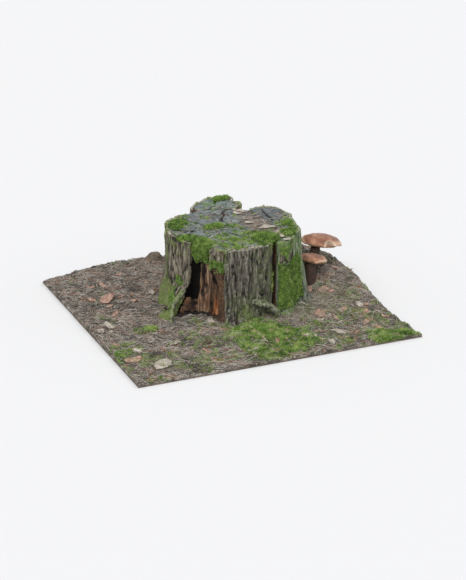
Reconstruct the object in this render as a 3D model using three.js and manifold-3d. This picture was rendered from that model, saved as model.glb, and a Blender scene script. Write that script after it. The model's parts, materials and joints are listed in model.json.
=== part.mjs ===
// A weathered tree stump of three stems grown together, on a square of forest floor.
// The stump stands through the soil: sound wood, loose bark, rotten heart, moss, two bracket mushrooms.
// Millimetres, +Z up. The origin is the middle of the square's underside; -Y is the front edge.
import * as THREE from "three";
import { mergeVertices } from "three/addons/utils/BufferGeometryUtils.js";
import Module from "manifold-3d";

const wasm = await Module();
wasm.setup();

// ---------- driving dimensions ----------
const PATCH_SIDE = 1100; // the square of ground
const EDGE_HEIGHT = 10; // ground surface above the underside along the front edge
const LITTER_THICKNESS = 5; // needles and twigs on the soil
const MOSS_RISE = 6; // how far a ground moss carpet stands above the litter
const CUT_HEIGHT = 305; // sawn top of the stump, above the origin
const CUT_SLOPE = 0.07; // rise of the sawn top per millimetre towards CUT_RISES_TOWARDS
const CUT_RISES_TOWARDS = 66; // degrees from +X
const BARK_THICKNESS = 14;
const STAVE_PROUD = 4; // the front staves stand this far out of the bark's face
const STAVE_RISE = 5; // and this far above the sawn top
const HOLLOW_TOP = 250; // crown of the rotten hollow in the front
const HOLLOW_FLOOR = 34;
const MOSS_THICKNESS = 9; // moss on bark and on the sawn top
const SEAM_GROOVE = 3; // rot gap between two stems below the bark

const GAP = 0.4; // between two pieces that touch
const SPLIT_DEGREES = 0.12; // between two bark plates, seen from the stem's middle
const UNDERSIDE = 0;
const FAR = 900; // beyond the object
const GROUND_CELLS = 18;

const up = new THREE.Vector3(0, 0, 1);
const degrees = THREE.MathUtils.degToRad;

// ---------- solids ----------
function solidFrom(geometry) {
  const bare = geometry.clone();
  bare.deleteAttribute("normal");
  bare.deleteAttribute("uv");
  const merged = mergeVertices(bare, 1e-3);
  return new wasm.Manifold(
    new wasm.Mesh({
      numProp: 3,
      vertProperties: new Float32Array(merged.attributes.position.array),
      triVerts: new Uint32Array(merged.index.array),
    }),
  );
}

function geometryFrom(solid) {
  const mesh = solid.getMesh();
  const geometry = new THREE.BufferGeometry();
  geometry.setAttribute("position", new THREE.BufferAttribute(mesh.vertProperties, 3));
  geometry.setIndex(new THREE.BufferAttribute(mesh.triVerts, 1));
  return geometry;
}

// The largest body of a solid that a cut left in several.
function mainBody(solid) {
  const bodies = solid.decompose();
  return bodies.reduce((best, body) => (body.volume() > best.volume() ? body : best));
}

// A closed skin over rings of equal count, lowest first, each running counterclockwise seen from above.
function loftSolid(rings) {
  const count = rings[0].length;
  const points = rings.flat();
  const faces = [];
  for (let i = 0; i + 1 < rings.length; i++) {
    for (let j = 0; j < count; j++) {
      const here = i * count + j;
      const next = i * count + ((j + 1) % count);
      faces.push(here, next, next + count, here, next + count, here + count);
    }
  }
  const middle = (ring) => ring.reduce((sum, p) => sum.add(p), new THREE.Vector3()).divideScalar(count);
  const bottom = points.push(middle(rings[0])) - 1;
  const top = points.push(middle(rings.at(-1))) - 1;
  const lastRing = (rings.length - 1) * count;
  for (let j = 0; j < count; j++) {
    const next = (j + 1) % count;
    faces.push(bottom, next, j, top, lastRing + j, lastRing + next);
  }
  const geometry = new THREE.BufferGeometry().setFromPoints(points);
  geometry.setIndex(faces);
  return solidFrom(geometry);
}

// A skin over polar rings: levels 0 to 1 give radius and height about a centre.
function polarLoft({ centre, sides, levels, radius, height }) {
  return loftSolid(
    levels.map((level) =>
      Array.from({ length: sides }, (_, j) => {
        const angle = (360 * j) / sides;
        const r = radius(angle, level);
        const x = centre[0] + r * Math.cos(degrees(angle));
        const y = centre[1] + r * Math.sin(degrees(angle));
        return new THREE.Vector3(x, y, height(x, y, level));
      }),
    ),
  );
}

// A closed outline given by [degrees, radius] points, eased from each point to the next.
function radiusOf(outline, angle) {
  const count = outline.length;
  const turn = (a) => ((a % 360) + 360) % 360;
  const at = turn(angle - outline[0][0]);
  let i = 0;
  while (i + 1 < count && turn(outline[i + 1][0] - outline[0][0]) <= at) i++;
  const from = outline[i];
  const to = outline[(i + 1) % count];
  const span = turn(to[0] - from[0]) || 360;
  const t = (at - turn(from[0] - outline[0][0])) / span;
  return THREE.MathUtils.lerp(from[1], to[1], t * t * (3 - 2 * t));
}

function prism(centre, outline, low, high, grow = 0, sides = 28) {
  return polarLoft({
    centre,
    sides,
    levels: [0, 1],
    radius: (angle) => radiusOf(outline, angle) + grow,
    height: (x, y, level) => (level ? high : low),
  });
}

function box(low, high) {
  const size = new THREE.Vector3().subVectors(high, low);
  const geometry = new THREE.BoxGeometry(size.x, size.y, size.z);
  geometry.translate(low.x + size.x / 2, low.y + size.y / 2, low.z + size.z / 2);
  return solidFrom(geometry);
}

// A slice of pie about a stem's middle, counterclockwise from one angle to the other.
function wedge(centre, from, to, low = -FAR, high = FAR) {
  const steps = Math.max(1, Math.ceil((to - from) / 30));
  const shape = new THREE.Shape();
  shape.moveTo(centre[0], centre[1]);
  for (let i = 0; i <= steps; i++) {
    const angle = degrees(from + ((to - from) * i) / steps);
    shape.lineTo(centre[0] + FAR * Math.cos(angle), centre[1] + FAR * Math.sin(angle));
  }
  const geometry = new THREE.ExtrudeGeometry(shape, { depth: high - low, bevelEnabled: false });
  geometry.translate(0, 0, low);
  return solidFrom(geometry);
}

// A rod along a smooth path, for twigs and roots, with an even radius.
function rod(path, radius, sides, steps) {
  const section = new THREE.Shape();
  for (let j = 0; j < sides; j++) {
    const angle = (2 * Math.PI * j) / sides;
    const point = [radius * Math.cos(angle), radius * Math.sin(angle)];
    if (j) section.lineTo(...point);
    else section.moveTo(...point);
  }
  const curve = new THREE.CatmullRomCurve3(path.map((p) => new THREE.Vector3(...p)));
  return solidFrom(
    new THREE.ExtrudeGeometry(section, { steps, bevelEnabled: false, extrudePath: curve }),
  );
}

const bump = (x, width) => Math.exp(-((x / width) ** 2));
const ramp = (from, to, x) => THREE.MathUtils.smoothstep(x, from, to);

// ---------- the ground surface ----------
const HALF = PATCH_SIDE / 2;
const STUMP_MIDDLE = [30, 40];
const MOUND_RISE = 26;
const MOUND_REACH = 330;
const BACK_RISE = 30;
// Soil banked over the root at the right, falling from the first point to the second.
const RIDGE_RISES = [140, 57];
const RIDGE_START = [380, 200];
const RIDGE_END = [545, -20];
const RIDGE_REACH = 175;

function ridgeHeight(x, y) {
  const along = new THREE.Vector2(RIDGE_END[0] - RIDGE_START[0], RIDGE_END[1] - RIDGE_START[1]);
  const offset = new THREE.Vector2(x - RIDGE_START[0], y - RIDGE_START[1]);
  const t = THREE.MathUtils.clamp(offset.dot(along) / along.lengthSq(), 0, 1);
  const away = offset.sub(along.multiplyScalar(t)).length();
  return THREE.MathUtils.lerp(...RIDGE_RISES, t) * bump(away, RIDGE_REACH);
}

function groundHeight(x, y) {
  const mound = MOUND_RISE * bump(Math.hypot(x - STUMP_MIDDLE[0], y - STUMP_MIDDLE[1]), MOUND_REACH);
  const back = BACK_RISE * ramp(150, HALF, y) * ramp(-HALF, -HALF + 200, x);
  const ripple = 2.5 * Math.sin(x / 61 + y / 93) * Math.sin(y / 71 - x / 140);
  const rise = mound + back + ridgeHeight(x, y);
  return EDGE_HEIGHT + rise + ripple * ramp(0, 60, HALF - Math.abs(y));
}

// A layer over the whole square between two heights.
function layer(lowAt, highAt) {
  const n = GROUND_CELLS;
  const points = [];
  const faces = [];
  const place = (i, j, heightAt) => {
    const x = -HALF + (PATCH_SIDE * i) / n;
    const y = -HALF + (PATCH_SIDE * j) / n;
    points.push(new THREE.Vector3(x, y, heightAt(x, y)));
  };
  for (const heightAt of [lowAt, highAt]) {
    for (let j = 0; j <= n; j++) for (let i = 0; i <= n; i++) place(i, j, heightAt);
  }
  const index = (i, j, top) => top * (n + 1) ** 2 + j * (n + 1) + i;
  for (let j = 0; j < n; j++) {
    for (let i = 0; i < n; i++) {
      const [a, b, c, d] = [[i, j], [i + 1, j], [i + 1, j + 1], [i, j + 1]];
      faces.push(index(...a, 1), index(...b, 1), index(...c, 1));
      faces.push(index(...a, 1), index(...c, 1), index(...d, 1));
      faces.push(index(...a, 0), index(...c, 0), index(...b, 0));
      faces.push(index(...a, 0), index(...d, 0), index(...c, 0));
    }
    for (const [a, b] of [
      [[j, 0], [j + 1, 0]],
      [[n, j], [n, j + 1]],
      [[j + 1, n], [j, n]],
      [[0, j + 1], [0, j]],
    ]) {
      faces.push(index(...a, 0), index(...b, 0), index(...b, 1));
      faces.push(index(...a, 0), index(...b, 1), index(...a, 1));
    }
  }
  const geometry = new THREE.BufferGeometry().setFromPoints(points);
  geometry.setIndex(faces);
  return solidFrom(geometry);
}

// The height of the faceted ground at a point, as layer() draws it.
function facetedGround(x, y) {
  const cell = PATCH_SIDE / GROUND_CELLS;
  const i = THREE.MathUtils.clamp(Math.floor((x + HALF) / cell), 0, GROUND_CELLS - 1);
  const j = THREE.MathUtils.clamp(Math.floor((y + HALF) / cell), 0, GROUND_CELLS - 1);
  const corner = (a, b) => groundHeight(-HALF + a * cell, -HALF + b * cell);
  const s = (x + HALF) / cell - i;
  const t = (y + HALF) / cell - j;
  const low = corner(i, j);
  const high = corner(i + 1, j + 1);
  if (s > t) return low + s * (corner(i + 1, j) - low) + t * (high - corner(i + 1, j));
  return low + t * (corner(i, j + 1) - low) + s * (high - corner(i, j + 1));
}

// ---------- the stems ----------
function cutHeight(x, y) {
  const rise = degrees(CUT_RISES_TOWARDS);
  return CUT_HEIGHT + CUT_SLOPE * (x * Math.cos(rise) + y * Math.sin(rise));
}

// Outlines are [degrees, radius] about the middle; roots are [degrees, reach, width, height].
const MAIN_STEM = {
  middle: [-10, 10],
  sides: 48,
  outline: [
    [5, 165], [43, 262], [75, 248], [127, 234], [150, 202], [182, 158],
    [221, 146], [254, 192], [283, 205], [305, 226], [337, 158],
  ],
  roots: [
    [192, 150, 13, 190], [150, 45, 24, 200], [256, 48, 20, 150], [108, 40, 22, 170],
  ],
};
const RIGHT_STEM = {
  middle: [225, 40],
  sides: 36,
  outline: [
    [-110, 228], [-74, 142], [-38, 88], [-8, 76], [30, 104], [71, 152],
    [98, 157], [122, 104], [150, 74], [205, 104], [238, 160],
  ],
  roots: [
    [-106, 78, 15, 130], [-60, 60, 24, 330], [-27, 46, 26, 170], [16, 84, 20, 150],
    [75, 34, 22, 150],
  ],
};
const REAR_STEM = {
  middle: [85, 285],
  sides: 30,
  outline: [[-32, 112], [14, 88], [31, 106], [76, 80], [122, 66], [198, 108], [270, 92]],
  roots: [[100, 52, 26, 170], [150, 40, 22, 150]],
};
const STEM_LEVELS = [0, 0.13, 0.28, 0.48, 0.76, 1];

function stemRadius(stem, angle, z) {
  const roots = stem.roots.map(([towards, reach, width, height]) => {
    const away = Math.abs(((angle - towards + 540) % 360) - 180);
    return reach * bump(away, width) * Math.max(0, 1 - z / height) ** 1.7;
  });
  return radiusOf(stem.outline, angle) + roots.reduce((sum, r) => sum + r, 0);
}

// A stem, its radius grown, from the underside to the sawn top or on past either end.
function stemSolid(stem, grow = 0, { rise = 0, sink = 0 } = {}) {
  const within = (level) => THREE.MathUtils.clamp(level, 0, 1);
  const past = (level) => (level > 1 ? rise : 0) - (level < 0 ? sink : 0);
  return polarLoft({
    centre: stem.middle,
    sides: stem.sides,
    levels: [...(sink ? [-1] : []), ...STEM_LEVELS, ...(rise ? [2] : [])],
    radius: (angle, level) => stemRadius(stem, angle, within(level) * CUT_HEIGHT) + grow,
    height: (x, y, level) =>
      THREE.MathUtils.lerp(UNDERSIDE, cutHeight(x, y), within(level)) + past(level),
  });
}

const woodInset = -(BARK_THICKNESS + GAP);
const stems = [MAIN_STEM, RIGHT_STEM, REAR_STEM];
const BEYOND = 20; // how far a cutter runs past the sawn top and the underside
const below = UNDERSIDE - BEYOND;

// A stem's whole outside, grown, for cutting what lies against it.
const stemCutter = (stem, grow) => stemSolid(stem, grow, { rise: BEYOND, sink: BEYOND });
const aroundStems = (grow) =>
  stems.map((stem) => stemCutter(stem, grow)).reduce((all, one) => all.add(one));

// ---------- the rotten hollow ----------
const HOLLOW = {
  middle: [-142, -84],
  outline: [[0, 78], [60, 104], [120, 96], [200, 118], [250, 120], [300, 92]],
};

function hollowSolid(grow = 0, floor = HOLLOW_FLOOR) {
  return polarLoft({
    centre: HOLLOW.middle,
    sides: 28,
    levels: [0, 0.35, 0.6, 0.8, 0.93, 1],
    radius: (angle, level) =>
      (radiusOf(HOLLOW.outline, angle) + grow) * Math.sqrt(Math.max(0.02, 1 - level ** 3)),
    height: (x, y, level) => THREE.MathUtils.lerp(floor - grow, HOLLOW_TOP + grow, level),
  });
}

// ---------- sawn wood ----------
function mainWood() {
  return mainBody(stemSolid(MAIN_STEM, woodInset).subtract(hollowSolid()));
}

function rightWood() {
  return mainBody(
    stemSolid(RIGHT_STEM, woodInset)
      .subtract(stemCutter(MAIN_STEM, woodInset + SEAM_GROOVE))
      .subtract(stemCutter(REAR_STEM, woodInset + SEAM_GROOVE)),
  );
}

function rearWood() {
  return mainBody(
    stemSolid(REAR_STEM, woodInset).subtract(stemCutter(MAIN_STEM, woodInset + SEAM_GROOVE)),
  );
}

// ---------- bark and staves ----------
// A plate of a stem's bark between two angles, clear of the other stems.
function barkPlate(stem, from, to, { proud = 0, rise = 0, low = UNDERSIDE } = {}) {
  const plate = stemSolid(stem, proud, { rise })
    .subtract(stemCutter(stem, -BARK_THICKNESS))
    .intersect(wedge(stem.middle, from + SPLIT_DEGREES, to - SPLIT_DEGREES, low));
  return mainBody(
    stems
      .filter((other) => other !== stem)
      .reduce((left, other) => left.subtract(stemCutter(other, GAP)), plate),
  );
}

// The bark left on the main stem runs between these two angles.
const MAIN_BARK_FROM = 106;
const MAIN_BARK_TO = 199;
// Bark plates are [name, stem, from, to].
const BARK_PLATES = [
  ["bark_left_front", MAIN_STEM, 166, MAIN_BARK_TO],
  ["bark_left", MAIN_STEM, 134, 166],
  ["bark_rear_left", MAIN_STEM, MAIN_BARK_FROM, 134],
  ["bark_rear_stem_left", REAR_STEM, 112, 190],
  ["bark_rear_stem_right", REAR_STEM, -24, 112],
  ["bark_right_rear", RIGHT_STEM, 30, 108],
  ["bark_right_side", RIGHT_STEM, -58, 30],
  ["bark_right_front", RIGHT_STEM, -112, -58],
];
// Weathered staves left standing on the front, [name, from, to].
const STAVES = [
  ["front_stave_left", 252.5, 263.5],
  ["front_stave_middle", 264, 281],
  ["front_stave_right", 281.5, 296],
];
// Bark sunk in the cleft between the staves and the right stem.
const CLEFT = { from: 296.5, to: 318, proud: -5 };
// A root that leaves the left wall of the hollow for the ground.
const FOOT_ROOT = {
  path: [[-180, -46, 118], [-222, -62, 86], [-248, -94, 50], [-264, -110, 13]],
  radius: 9,
};
// A thin root that arches over the foot of the cleft.
const KNOB_ROOT = {
  path: [[34, -192, 88], [70, -216, 86], [104, -218, 62], [134, -214, 30]],
  radius: 13,
};

function footRoot() {
  return mainBody(
    rod(FOOT_ROOT.path, FOOT_ROOT.radius, 10, 8)
      .subtract(stemCutter(MAIN_STEM, GAP))
      .intersect(box(new THREE.Vector3(-FAR, -FAR, UNDERSIDE), new THREE.Vector3(FAR, FAR, FAR))),
  );
}

function knobRoot() {
  return mainBody(
    rod(KNOB_ROOT.path, KNOB_ROOT.radius, 12, 9)
      .subtract(stemCutter(MAIN_STEM, STAVE_PROUD + GAP))
      .subtract(stemCutter(RIGHT_STEM, MOSS_THICKNESS + 2 * GAP)),
  );
}

// The bark-covered root that leaves the right stem for the right-hand edge.
const SIDE_ROOT = {
  path: [[268, 62, 112], [345, 84, 110], [425, 102, 102], [505, 112, 74]],
  radius: 42,
};

function sideRoot() {
  return mainBody(
    rod(SIDE_ROOT.path, SIDE_ROOT.radius, 16, 9)
      .subtract(stemCutter(RIGHT_STEM, GAP))
      .subtract(stemCutter(REAR_STEM, GAP)),
  );
}

// Whatever wood passes through the ground, grown a little.
const rootCutters = [FOOT_ROOT, KNOB_ROOT, SIDE_ROOT]
  .map(({ path, radius }) => {
    const [end, before] = [path.at(-1), path.at(-2)];
    const onward = end.map((v, i) => v + 0.02 * (v - before[i]));
    return rod([...path.slice(0, -1), end, onward], radius + 2 * GAP, 16, 14);
  })
  .reduce((all, one) => all.add(one));

// ---------- rot inside the hollow ----------
const ROT_CORE = {
  middle: [-92, -78],
  outline: [[0, 50], [90, 42], [160, 40], [190, 62], [215, 44], [245, 66], [270, 50], [300, 66]],
  top: HOLLOW_TOP - 14,
};

function rotCore() {
  return mainBody(
    polarLoft({
      centre: ROT_CORE.middle,
      sides: 36,
      levels: [0, 0.3, 0.55, 0.8, 1],
      radius: (angle, level) => radiusOf(ROT_CORE.outline, angle) * (1 - 0.16 * level),
      height: (x, y, level) => THREE.MathUtils.lerp(HOLLOW_FLOOR + GAP, ROT_CORE.top, level),
    })
      .intersect(hollowSolid(-GAP))
      .intersect(stemCutter(MAIN_STEM, woodInset)),
  );
}

// Crumbled rot banked against the hollow's back, in front of and left of the core.
const CRUMBLE = { middle: [-168, -70], reach: 78, top: 96, lobe: 0.12 };

function rotCrumble() {
  const lobed = (angle) => 1 + CRUMBLE.lobe * Math.cos(degrees(angle * 3));
  const heap = polarLoft({
    centre: CRUMBLE.middle,
    sides: 24,
    levels: [0, 0.35, 0.7, 1],
    radius: (angle, level) => CRUMBLE.reach * (1 - 0.8 * level) * lobed(angle),
    height: (x, y, level) => THREE.MathUtils.lerp(HOLLOW_FLOOR + GAP, CRUMBLE.top, level),
  });
  return mainBody(
    heap
      .intersect(hollowSolid(-GAP))
      .intersect(stemCutter(MAIN_STEM, woodInset))
      .subtract(wedge(MAIN_STEM.middle, MAIN_BARK_FROM, MAIN_BARK_TO + SPLIT_DEGREES))
      .subtract(rootCutters)
      .subtract(prism(ROT_CORE.middle, ROT_CORE.outline, below, ROT_CORE.top + GAP, GAP, 36)),
  );
}

// ---------- litter in the seam of the sawn top ----------
const SEAM_LITTER = {
  middle: [164, 62],
  outline: [[0, 24], [72, 128], [180, 26], [262, 104]],
  depth: 22,
  sunk: 3,
};

function seamLitter() {
  return mainBody(
    polarLoft({
      centre: SEAM_LITTER.middle,
      sides: 24,
      levels: [0, 1],
      radius: (angle) => radiusOf(SEAM_LITTER.outline, angle),
      height: (x, y, level) =>
        cutHeight(x, y) - (level ? SEAM_LITTER.sunk : SEAM_LITTER.depth),
    })
      .subtract(stemCutter(MAIN_STEM, woodInset + GAP))
      .subtract(stemCutter(RIGHT_STEM, woodInset + GAP))
      .subtract(stemCutter(REAR_STEM, woodInset + GAP)),
  );
}

// ---------- moss ----------
// A sheet of moss over a stem's outside between two angles and two heights.
function mossSheet(stem, from, to, low, high, on = 0) {
  const sheet = stemSolid(stem, on + GAP + MOSS_THICKNESS)
    .subtract(stemCutter(stem, on + GAP))
    .intersect(wedge(stem.middle, from, to, low, high));
  return mainBody(
    stems
      .filter((other) => other !== stem)
      .reduce((left, other) => left.subtract(stemCutter(other, GAP)), sheet),
  );
}

// Sheets are [name, stem, from, to, low, high, how far what it grows on stands out].
// The beards hang from the rim down over the crown of the hollow.
const MOSS_SHEETS = [
  ["moss_root_left", MAIN_STEM, 176, 193, 42, 150, 0],
  ["moss_beard_left", MAIN_STEM, 200, 228, HOLLOW_TOP - 22, CUT_HEIGHT - 9, woodInset],
  ["moss_beard_middle", MAIN_STEM, 232, 251, HOLLOW_TOP - 36, CUT_HEIGHT - 13, woodInset],
  ["moss_column_right", RIGHT_STEM, -110, -74, 48, 216, 0],
  ["moss_upper_right", RIGHT_STEM, -108, -92, CUT_HEIGHT - 79, CUT_HEIGHT - 15, 0],
];

// A cushion of moss on the sawn top.
function mossCushion({ middle, outline }) {
  return polarLoft({
    centre: middle,
    sides: 20,
    levels: [0, 0.6, 1],
    radius: (angle, level) => radiusOf(outline, angle) * (1 - 0.35 * level ** 3),
    height: (x, y, level) => cutHeight(x, y) + GAP + MOSS_THICKNESS * Math.sqrt(level),
  });
}

const MOSS_CUSHIONS = {
  moss_rim_front: {
    middle: [-112, -38],
    outline: [[0, 26], [60, 24], [128, 84], [180, 22], [240, 24], [296, 62], [330, 40]],
  },
  moss_top_right: {
    middle: [128, -108],
    outline: [[0, 54], [60, 44], [95, 52], [180, 58], [240, 50], [320, 54]],
  },
  moss_knob_right: { middle: [220, -92], outline: [[0, 34], [70, 26], [180, 24], [270, 42]] },
  moss_edge_right: { middle: [262, -18], outline: [[0, 18], [90, 42], [180, 22], [270, 34]] },
  moss_patch_left: {
    middle: [-124, 148],
    outline: [[0, 40], [90, 36], [150, 30], [240, 66], [300, 30]],
  },
  moss_patch_middle: { middle: [-14, 66], outline: [[0, 44], [90, 22], [180, 40], [270, 24]] },
  moss_rear_edge: { middle: [128, 322], outline: [[0, 40], [90, 16], [180, 40], [270, 18]] },
};

// Carpets of moss on the ground: [name, middle, outline].
const MOSS_CARPETS = [
  [
    "moss_carpet_front",
    [20, -372],
    [
      [0, 150], [40, 120], [75, 170], [105, 150], [140, 150],
      [180, 128], [235, 168], [285, 150], [325, 190],
    ],
  ],
  ["moss_carpet_corner", [HALF - 80, 38 - HALF], [[0, 72], [60, 24], [180, 120], [300, 30]]],
  ["moss_tuft_left", [-348, -118], [[0, 34], [90, 20], [180, 58], [270, 22]]],
  ["moss_tuft_front_left", [45 - HALF, -290], [[0, 40], [90, 30], [180, 34], [270, 24]]],
];

function mossCarpet(middle, outline) {
  return mainBody(
    layer(
      (x, y) => groundHeight(x, y) - LITTER_THICKNESS,
      (x, y) => groundHeight(x, y) + MOSS_RISE,
    )
      .intersect(prism(middle, outline, below, FAR))
      .subtract(aroundStems(STAVE_PROUD + GAP))
      .subtract(rootCutters),
  );
}

// ---------- ground ----------
function soilSlab() {
  return mainBody(
    layer(
      () => below,
      (x, y) => groundHeight(x, y) - LITTER_THICKNESS - GAP,
    )
      .intersect(box(new THREE.Vector3(-FAR, -FAR, UNDERSIDE), new THREE.Vector3(FAR, FAR, FAR)))
      .subtract(aroundStems(STAVE_PROUD + GAP))
      .subtract(rootCutters),
  );
}

// Litter is [name, low corner, high corner] in plan.
const MAT_SPLIT = { x: -36, y: 96 };
const LITTER_MATS = [
  ["needle_mat_left", [-FAR, -FAR], [MAT_SPLIT.x, MAT_SPLIT.y]],
  ["needle_mat_right", [MAT_SPLIT.x, -FAR], [FAR, MAT_SPLIT.y]],
  ["needle_mat_back", [-FAR, MAT_SPLIT.y], [FAR, FAR]],
];

function litterMat(low, high) {
  const area = box(
    new THREE.Vector3(low[0] + GAP, low[1] + GAP, below),
    new THREE.Vector3(high[0] - GAP, high[1] - GAP, FAR),
  );
  const whole = layer((x, y) => groundHeight(x, y) - LITTER_THICKNESS, groundHeight)
    .subtract(aroundStems(STAVE_PROUD + GAP))
    .subtract(rootCutters)
    .intersect(area);
  return mainBody(
    MOSS_CARPETS.reduce(
      (left, [, middle, outline]) => left.subtract(prism(middle, outline, below, FAR, 2 * GAP)),
      whole,
    ),
  );
}

// A lump of loose soil and needles near the back edge.
const CLOD = { middle: [-84, HALF - 42], reach: 36, rise: 34, oval: 0.14, turn: 20, crown: 0.05 };

function clod() {
  const oval = (angle) => 1 + CLOD.oval * Math.cos(degrees(2 * (angle + CLOD.turn)));
  return polarLoft({
    centre: CLOD.middle,
    sides: 16,
    levels: [0, 0.4, 0.75, 1],
    radius: (angle, level) => CLOD.reach * Math.sqrt(1 + CLOD.crown - level) * oval(angle),
    height: (x, y, level) => facetedGround(x, y) + 2 * GAP + CLOD.rise * level,
  });
}

// ---------- fallen leaves and sticks ----------
const LEAF_THICKNESS = 1.6;
const LEAF_LIFT = 1.2; // of its middle above the litter
const LEAF_HEART = 0.35; // share of the leaf that lies flat

// A thin cupped leaf on the ground, its size its length and width and its rim raised by curl.
function leaf({ at, size, turn, curl }) {
  const [long, wide] = size.map((span) => span / 2);
  const oval = (angle) => {
    const away = degrees(angle - turn);
    return (long * wide) / Math.hypot(wide * Math.cos(away), long * Math.sin(away));
  };
  return polarLoft({
    centre: at,
    sides: 14,
    // Below from the heart out to the rim, then above from the rim back in.
    levels: [-LEAF_HEART, -1, 1, LEAF_HEART],
    radius: (angle, level) => oval(angle) * Math.abs(level),
    height: (x, y, level) =>
      facetedGround(x, y) + LEAF_LIFT + curl * level ** 2 + (level > 0 ? LEAF_THICKNESS : 0),
  });
}

const LEAVES = {
  leaf_grey_front: { at: [135 - HALF, 114 - HALF], size: [96, 62], turn: 62, curl: 5 },
  leaf_pink_front: { at: [54 - HALF, -356], size: [66, 50], turn: 12, curl: 4 },
  leaf_brown_left: { at: [-392, 214], size: [66, 48], turn: 20, curl: 7 },
  leaf_small_left: { at: [-470, -24], size: [48, 30], turn: -60, curl: 5 },
  leaf_tan_right: { at: [282, -256], size: [58, 40], turn: 60, curl: 9 },
  leaf_grey_right: { at: [270, -424], size: [64, 34], turn: -58, curl: 5 },
  leaf_pink_right: { at: [388, -98], size: [62, 40], turn: -24, curl: 3 },
};

const STICKS = {
  stick_front: { from: [-16, -268], to: [-10, -420], bend: 4, radius: 3.5, lift: MOSS_RISE + 1 },
  twig_left: { from: [-468, 96], to: [-404, -92], bend: 16, radius: 2, lift: 1 },
  twig_right: { from: [330, -330], to: [470, -300], bend: -18, radius: 2, lift: 1 },
};

function stick({ from, to, bend, radius, lift }) {
  const steps = 8;
  const path = Array.from({ length: steps + 1 }, (_, i) => {
    const t = i / steps;
    const side = bend * Math.sin(Math.PI * t);
    const length = Math.hypot(to[0] - from[0], to[1] - from[1]);
    const x = THREE.MathUtils.lerp(from[0], to[0], t) - (side * (to[1] - from[1])) / length;
    const y = THREE.MathUtils.lerp(from[1], to[1], t) + (side * (to[0] - from[0])) / length;
    return [x, y, facetedGround(x, y) + lift + radius + 3 * GAP];
  });
  return rod(path, radius, 6, steps * 2);
}

// ---------- mushrooms ----------
// A bracket mushroom: a fan-shaped cap with a rolled rim, gills below it and a thick velvety stem.
const MUSHROOMS = {
  upper: {
    cap: [439, 51, 190], wide: 84, deep: 58, crown: 33, tilt: 6, turn: -22,
    foot: [396, 40, 84], neck: [414, 46, 180], stemFoot: 21, stemNeck: 19, notch: [448, -24, 20],
  },
  lower: {
    cap: [374, -14, 150], wide: 54, deep: 42, crown: 20, tilt: 9, turn: -24,
    foot: [350, -24, 44], neck: [362, -14, 140], stemFoot: 25, stemNeck: 21, notch: null,
  },
};
const CAP_OUTLINE = [[0, 1], [60, 0.96], [120, 0.9], [180, 0.98], [240, 1.02], [300, 1.04]];
const GILL_DEPTH = 7;
const FLESH = 9; // cap thickness at the rim

function capRing(mushroom, scale, z) {
  const { cap, wide, deep, turn, tilt } = mushroom;
  const sides = 22;
  return Array.from({ length: sides }, (_, j) => {
    const angle = (360 * j) / sides;
    const r = radiusOf(CAP_OUTLINE, angle) * scale;
    const along = r * wide * Math.cos(degrees(angle));
    const across = r * deep * Math.sin(degrees(angle));
    const flat = new THREE.Vector3(along, across, z - along * Math.tan(degrees(tilt)));
    return flat.applyAxisAngle(up, degrees(turn)).add(new THREE.Vector3(...cap));
  });
}

function capSolid(mushroom) {
  const profile = [
    [0.86, 0],
    [0.97, 1],
    [1, 0.5 * FLESH],
    [0.95, FLESH],
    [0.8, FLESH + 0.5 * (mushroom.crown - FLESH)],
    [0.55, FLESH + 0.85 * (mushroom.crown - FLESH)],
    [0.25, mushroom.crown],
  ];
  const cap = loftSolid(profile.map(([scale, z]) => capRing(mushroom, scale, z)));
  return clearOfStump(mushroom.notch ? cap.subtract(notchCutter(mushroom)) : cap);
}

function notchCutter({ notch, cap }) {
  const [x, y, reach] = notch;
  const outline = [[0, reach], [90, reach * 1.5], [180, reach * 0.8], [270, reach * 1.5]];
  return prism([x, y], outline, below, cap[2] + FAR);
}

function gillSolid(mushroom) {
  const profile = [
    [0.5, -GILL_DEPTH - 3],
    [0.74, -GILL_DEPTH],
    [0.82, -GAP],
  ];
  const gills = loftSolid(profile.map(([scale, z]) => capRing(mushroom, scale, z)));
  const cut = mushroom.notch ? gills.subtract(notchCutter(mushroom)) : gills;
  return clearOfStump(cut.subtract(mushroomStem(mushroom, GAP)));
}

function mushroomStem({ foot, neck, stemFoot, stemNeck }, grow = 0) {
  const sides = 18;
  const levels = [0, 0.15, 0.4, 0.7, 0.9, 1];
  const swell = (level) => 1 + 0.12 * Math.sin(Math.PI * level);
  return loftSolid(
    levels.map((level) =>
      Array.from({ length: sides }, (_, j) => {
        const angle = (2 * Math.PI * j) / sides;
        const r = THREE.MathUtils.lerp(stemFoot, stemNeck, level) * swell(level) + grow;
        const middle = new THREE.Vector3(...foot).lerp(new THREE.Vector3(...neck), level);
        const end = level === 0 ? -grow : level === 1 ? grow : 0;
        return middle.add(new THREE.Vector3(r * Math.cos(angle), r * Math.sin(angle), end));
      }),
    ),
  );
}

function clearOfStump(solid) {
  const ground = layer(
    () => below,
    (x, y) => groundHeight(x, y) + GAP,
  );
  return mainBody(solid.subtract(aroundStems(GAP)).subtract(rootCutters).subtract(ground));
}

// ---------- the finished object ----------
const FINISH = {
  soil: { color: "#4a3f35", roughness: 1 },
  litter: { color: "#8a7f72", roughness: 0.95 },
  wood: { color: "#7d7f80", roughness: 0.9 },
  bark: { color: "#6f6a62", roughness: 0.95 },
  stave: { color: "#8d8a84", roughness: 0.9 },
  rot: { color: "#7a4a2c", roughness: 1 },
  moss: { color: "#5c8a2c", roughness: 1 },
  leaf: { color: "#a9836f", roughness: 0.8 },
  stick: { color: "#8f7f6d", roughness: 0.9 },
  cap: { color: "#9c6a4e", roughness: 0.7 },
  gills: { color: "#b99a78", roughness: 0.8 },
  stalk: { color: "#3d251b", roughness: 0.95 },
};

const stump = new THREE.Group();

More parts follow.
